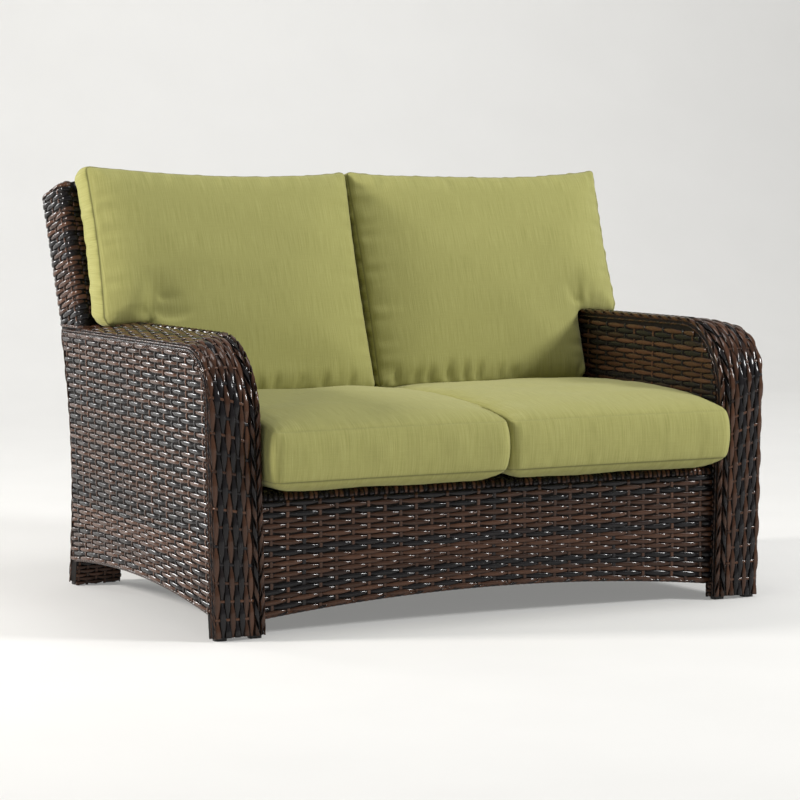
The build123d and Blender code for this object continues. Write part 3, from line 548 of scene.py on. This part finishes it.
for name, side in sides.items():
    bag = newBag()
    weave(
        bag, sidePlace(side, armWide), side, armOuter["low"] + rowPitch * np.arange(armOuter["rows"]),
        sideSpan(armWide, armOuter["top"]), armOuter["pitch"],
        lambda u, r: sideArch(u) * max(0, 1 - r / armOuter["archRows"]), 3 + side, **armOuter["look"],
    )
    run = np.arange(30.0, 838, 6.0)
    line = sidePlace(side, armWide)(run, armOuter["low"] - 5.5 + sideArch(run))
    addCord(bag, line, np.array([[side, 0.0, 0.0]]) + 0 * line, *armOuter["cord"])
    finishBag(bag, f"{name}_arm_outer_strands")

    bag = newBag()
    weave(
        bag, sidePlace(side, 0.0), -side, armInner["low"] + rowPitch * np.arange(armInner["rows"]),
        sideSpan(0, armInner["top"]), armInner["pitch"], None, 11 + side,
        tones=lambda r, u: armInner["tone"] * hashed(r, 11, 3),
    )
    finishBag(bag, f"{name}_arm_inner_strands")

    # Band: eight strands along it, crossed by stakes, then two twists side by side and thin cords on the borders
    bag = newBag()
    full = bandRun[-1]
    place = bandPlace(side)
    weave(
        bag, place, side, np.linspace(20, full - 44, armBand["strands"]), lambda q: (1, armBand["length"]),
        armBand["pitch"], None, 23 + side, **armBand["look"],
    )
    run = np.arange(0, armBand["length"] + 1, 6.0)
    for inner, cord in armBand["twists"]:
        q = full - inner + 0 * run
        addCord(bag, place(run, q), facing(place, side, run, q), *cord)
    for q, seed in armBand["borders"]:
        q = q + 0 * run
        addCord(bag, place(run, q), facing(place, side, run, q), 1.4, 47, 3, 2.2, seed)
    finishBag(bag, f"{name}_arm_band_strands")

    # Thin cord over the border between band and side
    bag = newBag()
    run = run[:-1]
    for q, lay, seed in armEdge["cords"]:
        line = place(run, 0 * run + max(q, 0))
        out = np.zeros_like(line)
        out[:, 0] = side
        inward = line - place(run, 0 * run + 3)
        line = line + out * 0.6 + inward * max(-q, 0) / 3
        addCord(bag, line, out, armEdge["radius"], lay, 3, armEdge["half"], seed)
    cord = finishBag(bag, f"{name}_arm_edge_cord")
    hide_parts(f"{name}_arm_braid")

    bag = newBag()
    weave(
        bag, rearPlace(side), -side, np.linspace(8, full - 8, armRear["strands"]),
        lambda q: (armRear["low"], rearTop(q)), armRear["pitch"], None, 31 + side, **armRear["look"],
    )
    finishBag(bag, f"{name}_arm_rear_strands")

    bag = newBag()
    levels = legCuffs["low"] + legCuffs["rise"] * np.arange(legCuffs["rows"])
    pitch = legCuffs["pitch"]
    weave(bag, frontCuffPlace(side), -side, levels, lambda v: (1, 132), pitch, None, 41 + side, **legCuffs["look"])
    weave(bag, rearCuffPlace(side), side, levels, lambda v: (1, 138), pitch, None, 43 + side, **legCuffs["look"])
    finishBag(bag, f"{name}_leg_cuff_strands")
print("arm strands made")


# Apron, seat edge and the rear between the arms
def innerX(z):
    return armFoot + 0.022 * z


def apronPlace(x, z):
    return np.stack([x, frontY + 28 + 0 * x, z + 0 * x], -1)


def arch(x, rise):
    return rise * np.clip(1 - (x / halfInside) ** 2, 0, 1)


def betweenArms(z):
    return -innerX(z) + 1, innerX(z) - 1


apron = {"low": 43, "rows": 21, "pitch": 37.7, "archRows": 12, "cord": (2.2, 46, 3, 3.0, 9)}
bag = newBag()
weave(
    bag, apronPlace, 1, apron["low"] + rowPitch * np.arange(apron["rows"]), betweenArms, apron["pitch"],
    lambda x, r: arch(x, archShape["apron"]) * max(0, 1 - r / apron["archRows"]), 53,
)
run = np.arange(-550.0, 551, 6.0)
line = apronPlace(run, apron["low"] - 5.5 + arch(run, archShape["apron"]))
addCord(bag, line, np.array([[0.0, -1.0, 0.0]]) + 0 * line, *apron["cord"])
finishBag(bag, "apron_strands")

ledge = {"pitch": 26.0, "look": {"swing": 1.0, "rowHalf": 5.6, "thick": 1.5, "stakeHalf": 3.6}}
ledgeDepth = np.array([28.0, 28.0, 31.5, 40.0, 72.0])
ledgeHigh = np.array([282.0, 288.0, 296.5, 300.0, 300.0])
ledgeRun = np.concatenate([[0], np.cumsum(np.hypot(np.diff(ledgeDepth), np.diff(ledgeHigh)))])


def ledgePlace(p, x):
    depth = np.interp(p, ledgeRun, ledgeDepth)
    return np.stack([x + 0 * depth, frontY + depth, np.interp(p, ledgeRun, ledgeHigh)], -1)


bag = newBag()
rows = np.arange(-552, 553, rowPitch)
weave(bag, ledgePlace, -1, rows, lambda x: (2, 46), ledge["pitch"], None, 61, **ledge["look"])
finishBag(bag, "seat_edge_strands")


def rearWeavePlace(x, z):
    return np.stack([x, frontY + rearDepth(z) - 22 + 0 * x, z + 0 * x], -1)


rear = {"low": 50, "rows": 48, "pitch": 42.5, "archRows": 14}
bag = newBag()
weave(
    bag, rearWeavePlace, -1, rear["low"] + rowPitch * np.arange(rear["rows"]), betweenArms, rear["pitch"],
    lambda x, r: arch(x, archShape["rear"]) * max(0, 1 - r / rear["archRows"]), 71, steps=evenSteps,
)
finishBag(bag, "rear_strands")


# Back
def backHalf(v, n):
    return 676 + 0.03 * v - 10 * n / 120


def backSpan(v, n, inset):
    high = backLevel + v * cos(rake) + n * sin(rake)
    half = backHalf(v, n) - inset
    if high < 634:
        half = innerX(high) - 2
    return -half, half


backFaces = {"pitch": 42.5, "front": (-355, 288), "rear": (4, 288), "thick": 120}
pitch = backFaces["pitch"]
bag = newBag()
rows = np.arange(*backFaces["front"], rowPitch)
weave(
    bag, lambda u, v: backPoint(u, v, 0), 1, rows, lambda v: backSpan(v, 0, 22), pitch, None, 83, steps=evenSteps,
)
finishBag(bag, "back_front_strands")
bag = newBag()
rows = np.arange(*backFaces["rear"], rowPitch)
deep = -backFaces["thick"]
weave(
    bag, lambda u, v: backPoint(u, v, deep), -1, rows, lambda v: backSpan(v, deep, 22), pitch, None, 89,
    steps=evenSteps,
)
finishBag(bag, "back_rear_strands")

wrapN = np.array([0.0, 0.0, -5.3, -18.1, -101.9, -114.7, -120.0, -120.0])
wrapInset = np.array([23.0, 18.1, 5.3, 0.0, 0.0, 5.3, 18.1, 23.0])
wrapRun = np.concatenate([[0], np.cumsum(np.hypot(np.diff(wrapN), np.diff(wrapInset)))])
wrapLow = -38.0  # where the sides of the wrap start above the arms, up the rake
wrapFoot = 607.5  # height of the wrap's foot
wrapRound = 18.1  # radius at the ends of the crest
backHigh = 312.46  # up the rake
wrapSide = backHigh - wrapRound - wrapLow
wrapCorner = wrapRound * pi / 2
wrapTop = 2 * 660.0
wrapLength = 2 * (wrapSide + wrapCorner) + wrapTop


# Over the back's edge from the right arm to the left one. q runs from its front to its rear.
def wrapPlace(q, p):
    n = np.interp(q, wrapRun, wrapN)
    inset = np.interp(q, wrapRun, wrapInset)
    flip = np.where(p > wrapLength / 2, -1, 1)
    p = np.where(p > wrapLength / 2, wrapLength - p, p)
    turn = np.clip((p - wrapSide) / wrapCorner, 0, 1) * pi / 2
    inner = np.maximum(inset, wrapRound)
    curve = inner - inset
    v = wrapLow + np.minimum(p, wrapSide)
    half = backHalf(np.minimum(v, 300), n)
    top = np.clip((p - wrapSide - wrapCorner) / (wrapTop / 2), 0, 1)
    u = (half - inner + curve * np.cos(turn)) * (1 - top)
    onSide = v + (wrapRound - inner) * (v - wrapLow) / wrapSide
    v = np.where(p <= wrapSide, onSide, backHigh - inner + curve * np.sin(turn))
    return backPoint(flip * u, v, n)


# A row stops where it would pass below the top of the arm.
def wrapSpan(p):
    p = min(p, wrapLength - p)
    lowest = (wrapFoot + 5 - backLevel - (wrapLow + p) * cos(rake)) / sin(rake)
    if p > wrapSide or lowest < -119:
        return 1, wrapRun[-1] - 1
    return (1, np.interp(-lowest, -wrapN, wrapRun)) if lowest < 0 else (0, 0)


bag = newBag()
rows = np.arange(3, wrapLength - 3, rowPitch)
weave(bag, wrapPlace, 1, rows, wrapSpan, 37.6, None, 97)
run = np.linspace(2, wrapRun[-1] - 2, 60)  # a roll closes the foot of the wrap
for side in (-1, 1):
    n, inset = np.interp(run, wrapRun, wrapN), np.interp(run, wrapRun, wrapInset)
    v = upRake(wrapFoot, n)
    line = backPoint(side * (backHalf(v, n) - inset), v, n)
    normals = np.cross(np.gradient(line, axis=0), [0, 0, side])
    normals /= np.linalg.norm(normals, axis=1)[:, None]
    addCord(bag, line, normals, 2.6, 42, 3, 3.4, 5)
finishBag(bag, "back_edge_strands")
print("seat and back strands made")

# Cushions: a front and a rear panel with crowns, and a boxing between their seams. A fold is a short line,
# x1, y1, x2, y2, with its depth and its width on either side.
def polyAt(points, f):
    points = np.asarray(points, float)
    run = np.concatenate([[0], np.cumsum(np.hypot(*np.diff(points, axis=0).T))])
    return np.stack([np.interp(f * run[-1], run, points[:, i]) for i in (0, 1)], -1)


# Fractions from 0 to 1 with finer steps by both ends, so that seams are crisp.
def spread(count, near):
    middle = np.linspace(near * 3, 1 - near * 3, count)
    return np.concatenate([[0, near * 0.4, near, near * 1.8], middle, [1 - near * 1.8, 1 - near, 1 - near * 0.4, 1]])


# Distance from points to a closed loop, and how far round it the nearest spot is.
def nearestOnLoop(points, loop):
    after = np.roll(loop, -1, axis=0)
    step = after - loop
    length = np.hypot(*step.T) + 1e-9
    run = np.concatenate([[0], np.cumsum(length)[:-1]])
    best = np.full(len(points), 1e9)
    where = np.zeros(len(points))
    for i in range(len(loop)):
        t = np.clip(((points - loop[i]) @ step[i]) / length[i] ** 2, 0, 1)
        d = np.hypot(*(points - loop[i] - t[:, None] * step[i]).T)
        closer = d < best
        best[closer] = d[closer]
        where[closer] = run[i] + t[closer] * length[i]
    return best, where


def wave(s, seed, lengths):
    total = 0
    for k, length in enumerate(lengths):
        total = total + np.sin(2 * pi * s / length + 6.28 * hashed(k, seed)) * (0.5 + hashed(k, seed, 3))
    return total / len(lengths)


def bump(x):
    return np.exp(-x * x)


# Softens a grid of heights, with its rim kept.
def smoothed(field, times):
    for _ in range(times):
        around = field[:-2, 1:-1] + field[2:, 1:-1] + field[1:-1, :-2] + field[1:-1, 2:]
        field[1:-1, 1:-1] = 0.5 * field[1:-1, 1:-1] + 0.125 * around
    return field


def creaseDepth(a, b, creases):
    total = 0 * a
    for x1, y1, x2, y2, depth, width, far in creases:
        dx, dy = x2 - x1, y2 - y1
        length = sqrt(dx * dx + dy * dy)
        t = ((a - x1) * dx + (b - y1) * dy) / length**2
        off = ((a - x1) * dy - (b - y1) * dx) / length
        off = off + 0.08 * length * np.sin(pi * np.clip(t, 0, 1))
        fade = np.clip(t * 5, 0, 1) * np.clip((1 - t) * 1.6, 0, 1) * (t > 0) * (t < 1)
        fade = fade * fade * (3 - 2 * fade)
        wide = np.where(off > 0, width, far)
        total = total - fade * depth * bump(off / wide)
    return total


# Draws the four corners of a grid in, so that its outline is round there.
def roundCorners(grid, rounds):
    for (i, j), radius in zip(((0, 0), (-1, 0), (-1, -1), (0, -1)), rounds):
        a = np.clip(radius - np.abs(grid[..., 0] - grid[i, :, 0][None, :]), 0, None)
        b = np.clip(radius - np.abs(grid[..., 1] - grid[:, j, 1][:, None]), 0, None)
        keep = 1 - np.where((a > 0) & (b > 0), np.maximum(a, b) / (np.hypot(a, b) + 1e-9), 1)
        grid[..., 0] += a * keep * (1 if i == 0 else -1)
        grid[..., 1] += b * keep * (1 if j == 0 else -1)


# edges gives the front low, front high, rear low and rear high lines; seams the two panels' levels.
def padForm(
    name, side, place, edges, seams, crowns, pulls, bulge, pucker, creases, seed, rounds, faint, counts=(104, 76, 13)
):
    columns, rows, rings = counts
    f = spread(columns, 0.006)
    g = spread(rows, 0.008)
    panels = []
    for low, high in ((edges[0], edges[1]), (edges[2], edges[3])):
        bottom, top = polyAt(low, f), polyAt(high, f)
        grid = bottom[:, None] * (1 - g)[None, :, None] + top[:, None] * g[None, :, None]
        fx, gx = np.meshgrid(f, g, indexing="ij")
        grid[..., 0] += pulls[0] * np.sin(pi * gx) * (1 - fx) ** 4 - pulls[1] * np.sin(pi * gx) * fx**4
        grid[..., 1] += pulls[2] * np.sin(pi * fx) * (1 - gx) ** 4 - pulls[3] * np.sin(pi * fx) * gx**4
        roundCorners(grid, rounds)
        panels.append(grid)
    m, n = len(f), len(g)
    around = [(i, 0) for i in range(m)] + [(m - 1, j) for j in range(1, n)]
    around += [(i, n - 1) for i in range(m - 2, -1, -1)] + [(0, j) for j in range(n - 2, 0, -1)]
    ai, aj = np.array(around).T
    loops = [panel[ai, aj] for panel in panels]
    data = []
    for index, (panel, loop, seam, crown) in enumerate(zip(panels, loops, seams, crowns)):
        flat = panel.reshape(-1, 2)
        distance, s = nearestOnLoop(flat, loop)
        a, b = flat.T
        high, reach, power, roll, share = crown
        broad = 1 - (1 - np.clip(distance / reach, 0, 1)) ** power
        lift = high * (share * broad + (1 - share) * (1 - (1 - np.clip(distance / roll, 0, 1)) ** 2.1))
        lift = smoothed(lift.reshape(m, n), 14).ravel()
        lift = lift + pucker * distance / 13 * np.exp(1 - distance / 13) * wave(s, seed + index, (29, 41, 57, 83))
        lift = lift + 1.5 * np.clip(distance / 60, 0, 1) * wave(a * 0.8 + b * 0.5, seed + 5, (170, 260))
        lift = lift + 1.2 * np.clip(distance / 60, 0, 1) * wave(b - a * 0.3, seed + 6, (140, 230))
        lift = lift - (1.7 - 0.7 * faint) * bump(distance / 2.2)
        if index == 0:
            lift = lift + creaseDepth(a, b, creases)
        level = seam(a, b) + lift * (1 if index == 0 else -1)
        data.append((a, b, level, distance))
    verts = [place(side * a, b, c) for a, b, c, _ in data]
    # Distances from the seams, which the cloth's painted seam shade reads.
    seamShadeDistance = [data[0][3] + faint, data[1][3]]
    cloth = [np.stack([a / 1000, b / 1000, 0 * a + 0.3 * index], -1) for index, (a, b, _, _) in enumerate(data)]

    # Boxing rings from the front seam to the rear one
    h = spread(rings, 0.02)[1:-1]
    step = np.roll(loops[0], -1, axis=0) - np.roll(loops[0], 1, axis=0)
    outward = np.stack([step[:, 1], -step[:, 0]], -1)
    outward /= np.hypot(*outward.T)[:, None] + 1e-9
    for _ in range(3):
        outward = (np.roll(outward, 1, axis=0) + outward + np.roll(outward, -1, axis=0)) / 3
    length = np.hypot(*(np.roll(loops[0], -1, axis=0) - loops[0]).T)
    s = np.concatenate([[0], np.cumsum(length)[:-1]])
    levels = [data[0][2][ai * n + aj], data[1][2][ai * n + aj]]
    wide = np.abs(levels[0] - levels[1]).mean()
    for part in h:
        near = np.minimum(part, 1 - part) * wide
        swell = bulge(*loops[0].T) * (1 - (2 * part - 1) ** 2) ** 0.55
        swell = swell * (1 - 0.12 * bump((part - 0.5) / 0.3) * wave(s, seed + 8, (90, 150)))
        swell = swell + 0.7 * pucker * near / 12 * np.exp(1 - near / 12) * wave(s, seed + 9, (31, 47, 71))
        spot = loops[0] * (1 - part) + loops[1] * part + outward * swell[:, None]
        c = levels[0] * (1 - part) + levels[1] * part
        verts.append(place(side * spot[:, 0], spot[:, 1], c))
        seamShadeDistance.append(near + faint * (part < 0.5) + 0 * s)
    total = m * n
    grids = np.arange(total).reshape(m, n)
    quads = [np.stack([grids[:-1, :-1], grids[1:, :-1], grids[1:, 1:], grids[:-1, 1:]], -1).reshape(-1, 4)]
    quads.append(total + quads[0][:, ::-1])
    cells = [cloth[0][quads[0]], cloth[1][quads[0][:, ::-1]]]
    ringIds = [grids[ai, aj]]
    ringIds += [2 * total + k * len(ai) + np.arange(len(ai)) for k in range(len(h))]
    ringIds += [total + grids[ai, aj]]
    parts = np.concatenate([[0], h, [1]])
    sNext = np.append(s[1:], s[-1] + length[-1])
    for k in range(len(ringIds) - 1):
        p, q = ringIds[k], ringIds[k + 1]
        quads.append(np.stack([p, q, np.roll(q, -1), np.roll(p, -1)], -1))
        low, high = parts[k] * wide / 1000, parts[k + 1] * wide / 1000
        cell = np.zeros((len(p), 4, 3))
        cell[:, :2, 0] = s[:, None] / 1000
        cell[:, 2:, 0] = sNext[:, None] / 1000
        cell[:, :, 1] = np.array([low, high, high, low])[None]
        cell[:, :, 2] = 0.7
        cells.append(cell)
    quads = np.concatenate(quads)
    cells = np.concatenate(cells)
    if side < 0:
        quads = quads[:, ::-1]
        cells = cells[:, ::-1]
    made = makeObject(name, np.concatenate(verts), quads)
    weft = made.data.attributes.new("cloth", "FLOAT_VECTOR", "CORNER")
    weft.data.foreach_set("vector", cells.reshape(-1, 3).ravel())
    away = made.data.attributes.new("seamShadeDistance", "FLOAT", "POINT")
    away.data.foreach_set("value", np.concatenate(seamShadeDistance))
    made.data.materials.append(clothFinish)
    return made


domePlaces = (0, 0.1, 0.2, 0.35, 0.5, 0.65, 0.8, 0.9, 1)  # from the nose to the tail
domeHeights = (0, 0.45, 0.78, 0.95, 1, 0.93, 0.72, 0.4, 0.05)


def seatSeam(a, b):
    share = np.clip((b + 50) / 698, 0, 1)
    return seatPad["seam"] + seatPad["dome"] * np.interp(share, domePlaces, domeHeights)


def backLine(spots, n):
    return [(x, upRake(z, n)) for x, z in spots]


earLow = 623.2
stemLine = [
    (6, 461.2), (520, 461.2), (540, 464), (550, 472), (553.5, 486), (555, 600), (557, 616), (563, earLow - 1),
    (575, earLow), (632, earLow), (645, earLow + 2), (652, earLow + 10),
]


# Level of the front seam: drawn back at the ear and at the middle of the seat.
def backSeam(u, v):
    return 118 - 11 * (v + 231) / 551 - 17 * bump((u - 670) / 60) - 21 * bump(u / 90)


earReach = {"left": 4, "right": 24}  # how far the outer end of each back cushion lies beyond that line


# Folds by the notch over the arm, and gathers along the lower seam: those of the two sides differ.
def backCreases(side):
    notch = [
        (556, -62, 552, 74, 12.0, 21, 55), (546, -52, 440, -38, 5.5, 12, 6), (540, -8, 462, 0, 3.6, 12, 7),
        (566, -44, 590, -18, 3.0, 6, 6), (575, -45, 612, -26, 2.2, 6, 6),
    ]
    if side < 0:
        spots = ((285, 2.6), (226, 2.4), (162, 2.6), (88, 2.6), (322, 1.6), (40, 1.8))
    else:
        notch = [
            (558, -60, 570, 44, 8.0, 12, 22), (556, -50, 524, 20, 4.0, 10, 12), (585, -46, 602, 14, 4.0, 8, 8),
            (610, -46, 630, -14, 3.0, 6, 7),
        ]
        spots = (
            (40, 3.2), (85, 2.4), (120, 2.8), (172, 3.6), (215, 3.4), (252, 3.2), (310, 2.8), (347, 2.2), (530, 2.5),
        )
    return notch + [(x, -231, x + 15 * side, -231 + 17 * deep, 2.8 * deep, 4.2, 8.5) for x, deep in spots]


topLines = {
    "left": [
        (2.5, 950), (40, 945), (110, 938), (215, 936), (330, 938), (440, 943), (530, 949), (620, 958), (654, 965),
    ],
    "right": [
        (2.5, 952), (45, 944), (105, 937), (205, 934), (305, 932.5), (405, 930.5), (505, 932), (605, 938.5),
        (655, 946), (678, 949),
    ],
}
# A crown is its height, reach, power, roll and share; pulls draw the inner, outer, lower and upper edges in.
# rounds are the radii of the four corners, and faint weakens the front seam's groove and its painted shade.
seatPad = {
    "seam": 433, "dome": 28, "under": 328, "half": (6, 550), "depths": (-45, 641), "swell": 4.8, "noseSwell": 11,
    "crowns": ((19, 190, 2.2, 38, 0.4), (26, 70, 2.6, 50, 0.4)), "pulls": (3, 3, 4, 4), "pucker": 1.3,
    "rounds": (18, 17, 12, 12), "faint": 1.7,
}
backPad = {
    "front": 118, "rear": 28, "crest": 62, "swell": 4.5, "earSwell": {"left": 4.5, "right": 8.0},
    "crowns": ((42, 275, 1.9, 40, 0.58), (17, 120, 2.2, 50, 0.4)), "pulls": (5, 6, -1, 3), "pucker": 3.4,
    "rounds": {"left": (14, 9, 12, 14), "right": (14, 9, 9, 14)}, "faint": 0.0,
}


def seatPlace(x, d, c):
    return np.stack([x, frontY + d, c], -1)


# The boxing swells more at the ear; on the right one only below the corner.
def backSwell(name):
    def swell(a, b):
        ear = backPad["earSwell"][name] * np.clip((a - 600) / 40, 0, 1)
        if name == "right":
            ear = ear * np.clip((290 - b) / 80, 0, 1)
        return backPad["swell"] + ear
    return swell


for name, side in sides.items():
    nose, tail = [[(x, depth) for x in seatPad["half"]] for depth in seatPad["depths"]]
    seat = padForm(
        f"{name}_seat_cushion", side, seatPlace, (nose, tail, nose, tail),
        (seatSeam, lambda a, b: seatPad["under"] + 0 * a), seatPad["crowns"], seatPad["pulls"],
        lambda a, b: seatPad["swell"] + seatPad["noseSwell"] * np.clip(-b / 45, 0, 1) ** 3,
        seatPad["pucker"], [], 3 + side, seatPad["rounds"], seatPad["faint"],
    )
    low = stemLine[:-4] + [(x + earReach[name], z) for x, z in stemLine[-4:]]
    high = backLine(topLines[name], backPad["crest"])
    back = padForm(
        f"{name}_back_cushion", side, backPoint,
        (backLine(low, backPad["front"]), high, backLine(low, backPad["rear"]), high),
        (backSeam, lambda u, v: backPad["rear"] - 11 * (v + 231) / 551), backPad["crowns"], backPad["pulls"],
        backSwell(name), backPad["pucker"], backCreases(side), 13 + side, backPad["rounds"][name], backPad["faint"],
    )
    for piece, kind, fill in ((seat, "seat", 0.85), (back, "back", 0.75)):
        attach(piece, f"{name}_{kind}_cushion")
        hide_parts(f"{name}_{kind}_cushion_cover", f"{name}_{kind}_cushion_core")
print("cushions made")

# The camera stands in front and to the left, a little above the cushions.
camera = {"lens": 127.67, "place": (-2.905093, -5.79509, 1.026528), "down": 5.182, "turn": 26.512}
lensData = bpy.data.cameras.new("photo camera")
lensData.lens = camera["lens"]
lensData.sensor_width = 36
lensData.clip_start = 0.1
lensData.clip_end = 60
cameraObject = bpy.data.objects.new("photo camera", lensData)
scene.collection.objects.link(cameraObject)
cameraObject.location = camera["place"]
cameraObject.rotation_euler = (radians(90 - camera["down"]), 0, -radians(camera["turn"]))
scene.camera = cameraObject

# Floor with a curved backdrop
coveShape = {"front": -9.0, "bend": 4.0, "radius": 2.5, "high": 9.0, "half": 14}  # metres
pale = 0.22  # how far the paper shows its own light to the camera
turns = np.linspace(0, pi / 2, 17)
bend, radius = coveShape["bend"], coveShape["radius"]
profile = [(coveShape["front"], 0.0)]
profile += [(bend + radius * sin(a), radius * (1 - cos(a))) for a in turns]
profile += [(bend + radius, coveShape["high"])]
coveVerts = [(x, y, z) for y, z in profile for x in (-coveShape["half"], coveShape["half"])]
coveQuads = [(2 * i, 2 * i + 1, 2 * i + 3, 2 * i + 2) for i in range(len(profile) - 1)]
cove = makeObject("studio floor", np.array(coveVerts) * 1000, coveQuads)
paper = plainFinish("studio paper", (0.785, 0.78, 0.76), (0.805, 0.8, 0.78), 0.9, 0.0, 3.0)
cove.data.materials.append(paper)
tree = paper.node_tree
path = tree.nodes.new("ShaderNodeLightPath")
seen = mathNode(tree, "MAXIMUM", path.outputs["Is Camera Ray"], path.outputs["Is Glossy Ray"])
seen = mathNode(tree, "MAXIMUM", seen, path.outputs["Is Transmission Ray"])
glow = addNode(tree, "ShaderNodeEmission", Color=(1, 0.995, 0.97, 1), Strength=1.0)
mixed = tree.nodes.new("ShaderNodeMixShader")
tree.links.new(mathNode(tree, "MULTIPLY", seen, pale), mixed.inputs[0])
tree.links.new(tree.nodes["Principled BSDF"].outputs[0], mixed.inputs[1])
tree.links.new(glow.outputs[0], mixed.inputs[2])
# From behind or below the paper is clear, so that every side of the object can be looked at.
geometry = tree.nodes.new("ShaderNodeNewGeometry")
clear = tree.nodes.new("ShaderNodeBsdfTransparent")
shown = tree.nodes.new("ShaderNodeMixShader")
hidden = mathNode(tree, "MULTIPLY", geometry.outputs["Backfacing"], path.outputs["Is Camera Ray"])
tree.links.new(hidden, shown.inputs[0])
tree.links.new(mixed.outputs[0], shown.inputs[1])
tree.links.new(clear.outputs[0], shown.inputs[2])
tree.links.new(shown.outputs[0], tree.nodes["Material Output"].inputs[0])
print("studio made")

world = bpy.data.worlds.new("studio")
scene.world = world
world.use_nodes = True
tree = world.node_tree
plain = tree.nodes["Background"]
plain.inputs["Color"].default_value = (1, 1, 1, 1)
plain.inputs["Strength"].default_value = 0.25


def areaLamp(name, place, aim, size, power, color=(1, 1, 1)):
    lamp = bpy.data.lights.new(name, "AREA")
    lamp.size = size
    lamp.energy = power
    lamp.color = color
    made = bpy.data.objects.new(name, lamp)
    scene.collection.objects.link(made)
    made.location = place
    made.rotation_euler = (Vector(aim) - Vector(place)).to_track_quat("-Z", "Y").to_euler()


areaLamp("left", (-4.6, 1.0, 2.3), (0, 0.1, 0.5), 0.7, 235, (1, 0.965, 0.93))
areaLamp("behind", (-3.2, 5.6, 1.9), (-0.6, 0, 0.4), 0.9, 75)
areaLamp("right", (4.9, -4.1, 3.5), (0, 0, 0.5), 1.3, 355)
areaLamp("top", (0.4, -0.6, 4.0), (0, 0, 0.4), 1.6, 45)
areaLamp("backdrop", (2.2, 2.6, 4.2), (2.6, 6.5, 1.6), 1.5, 52)
scene.view_settings.view_transform = "Standard"
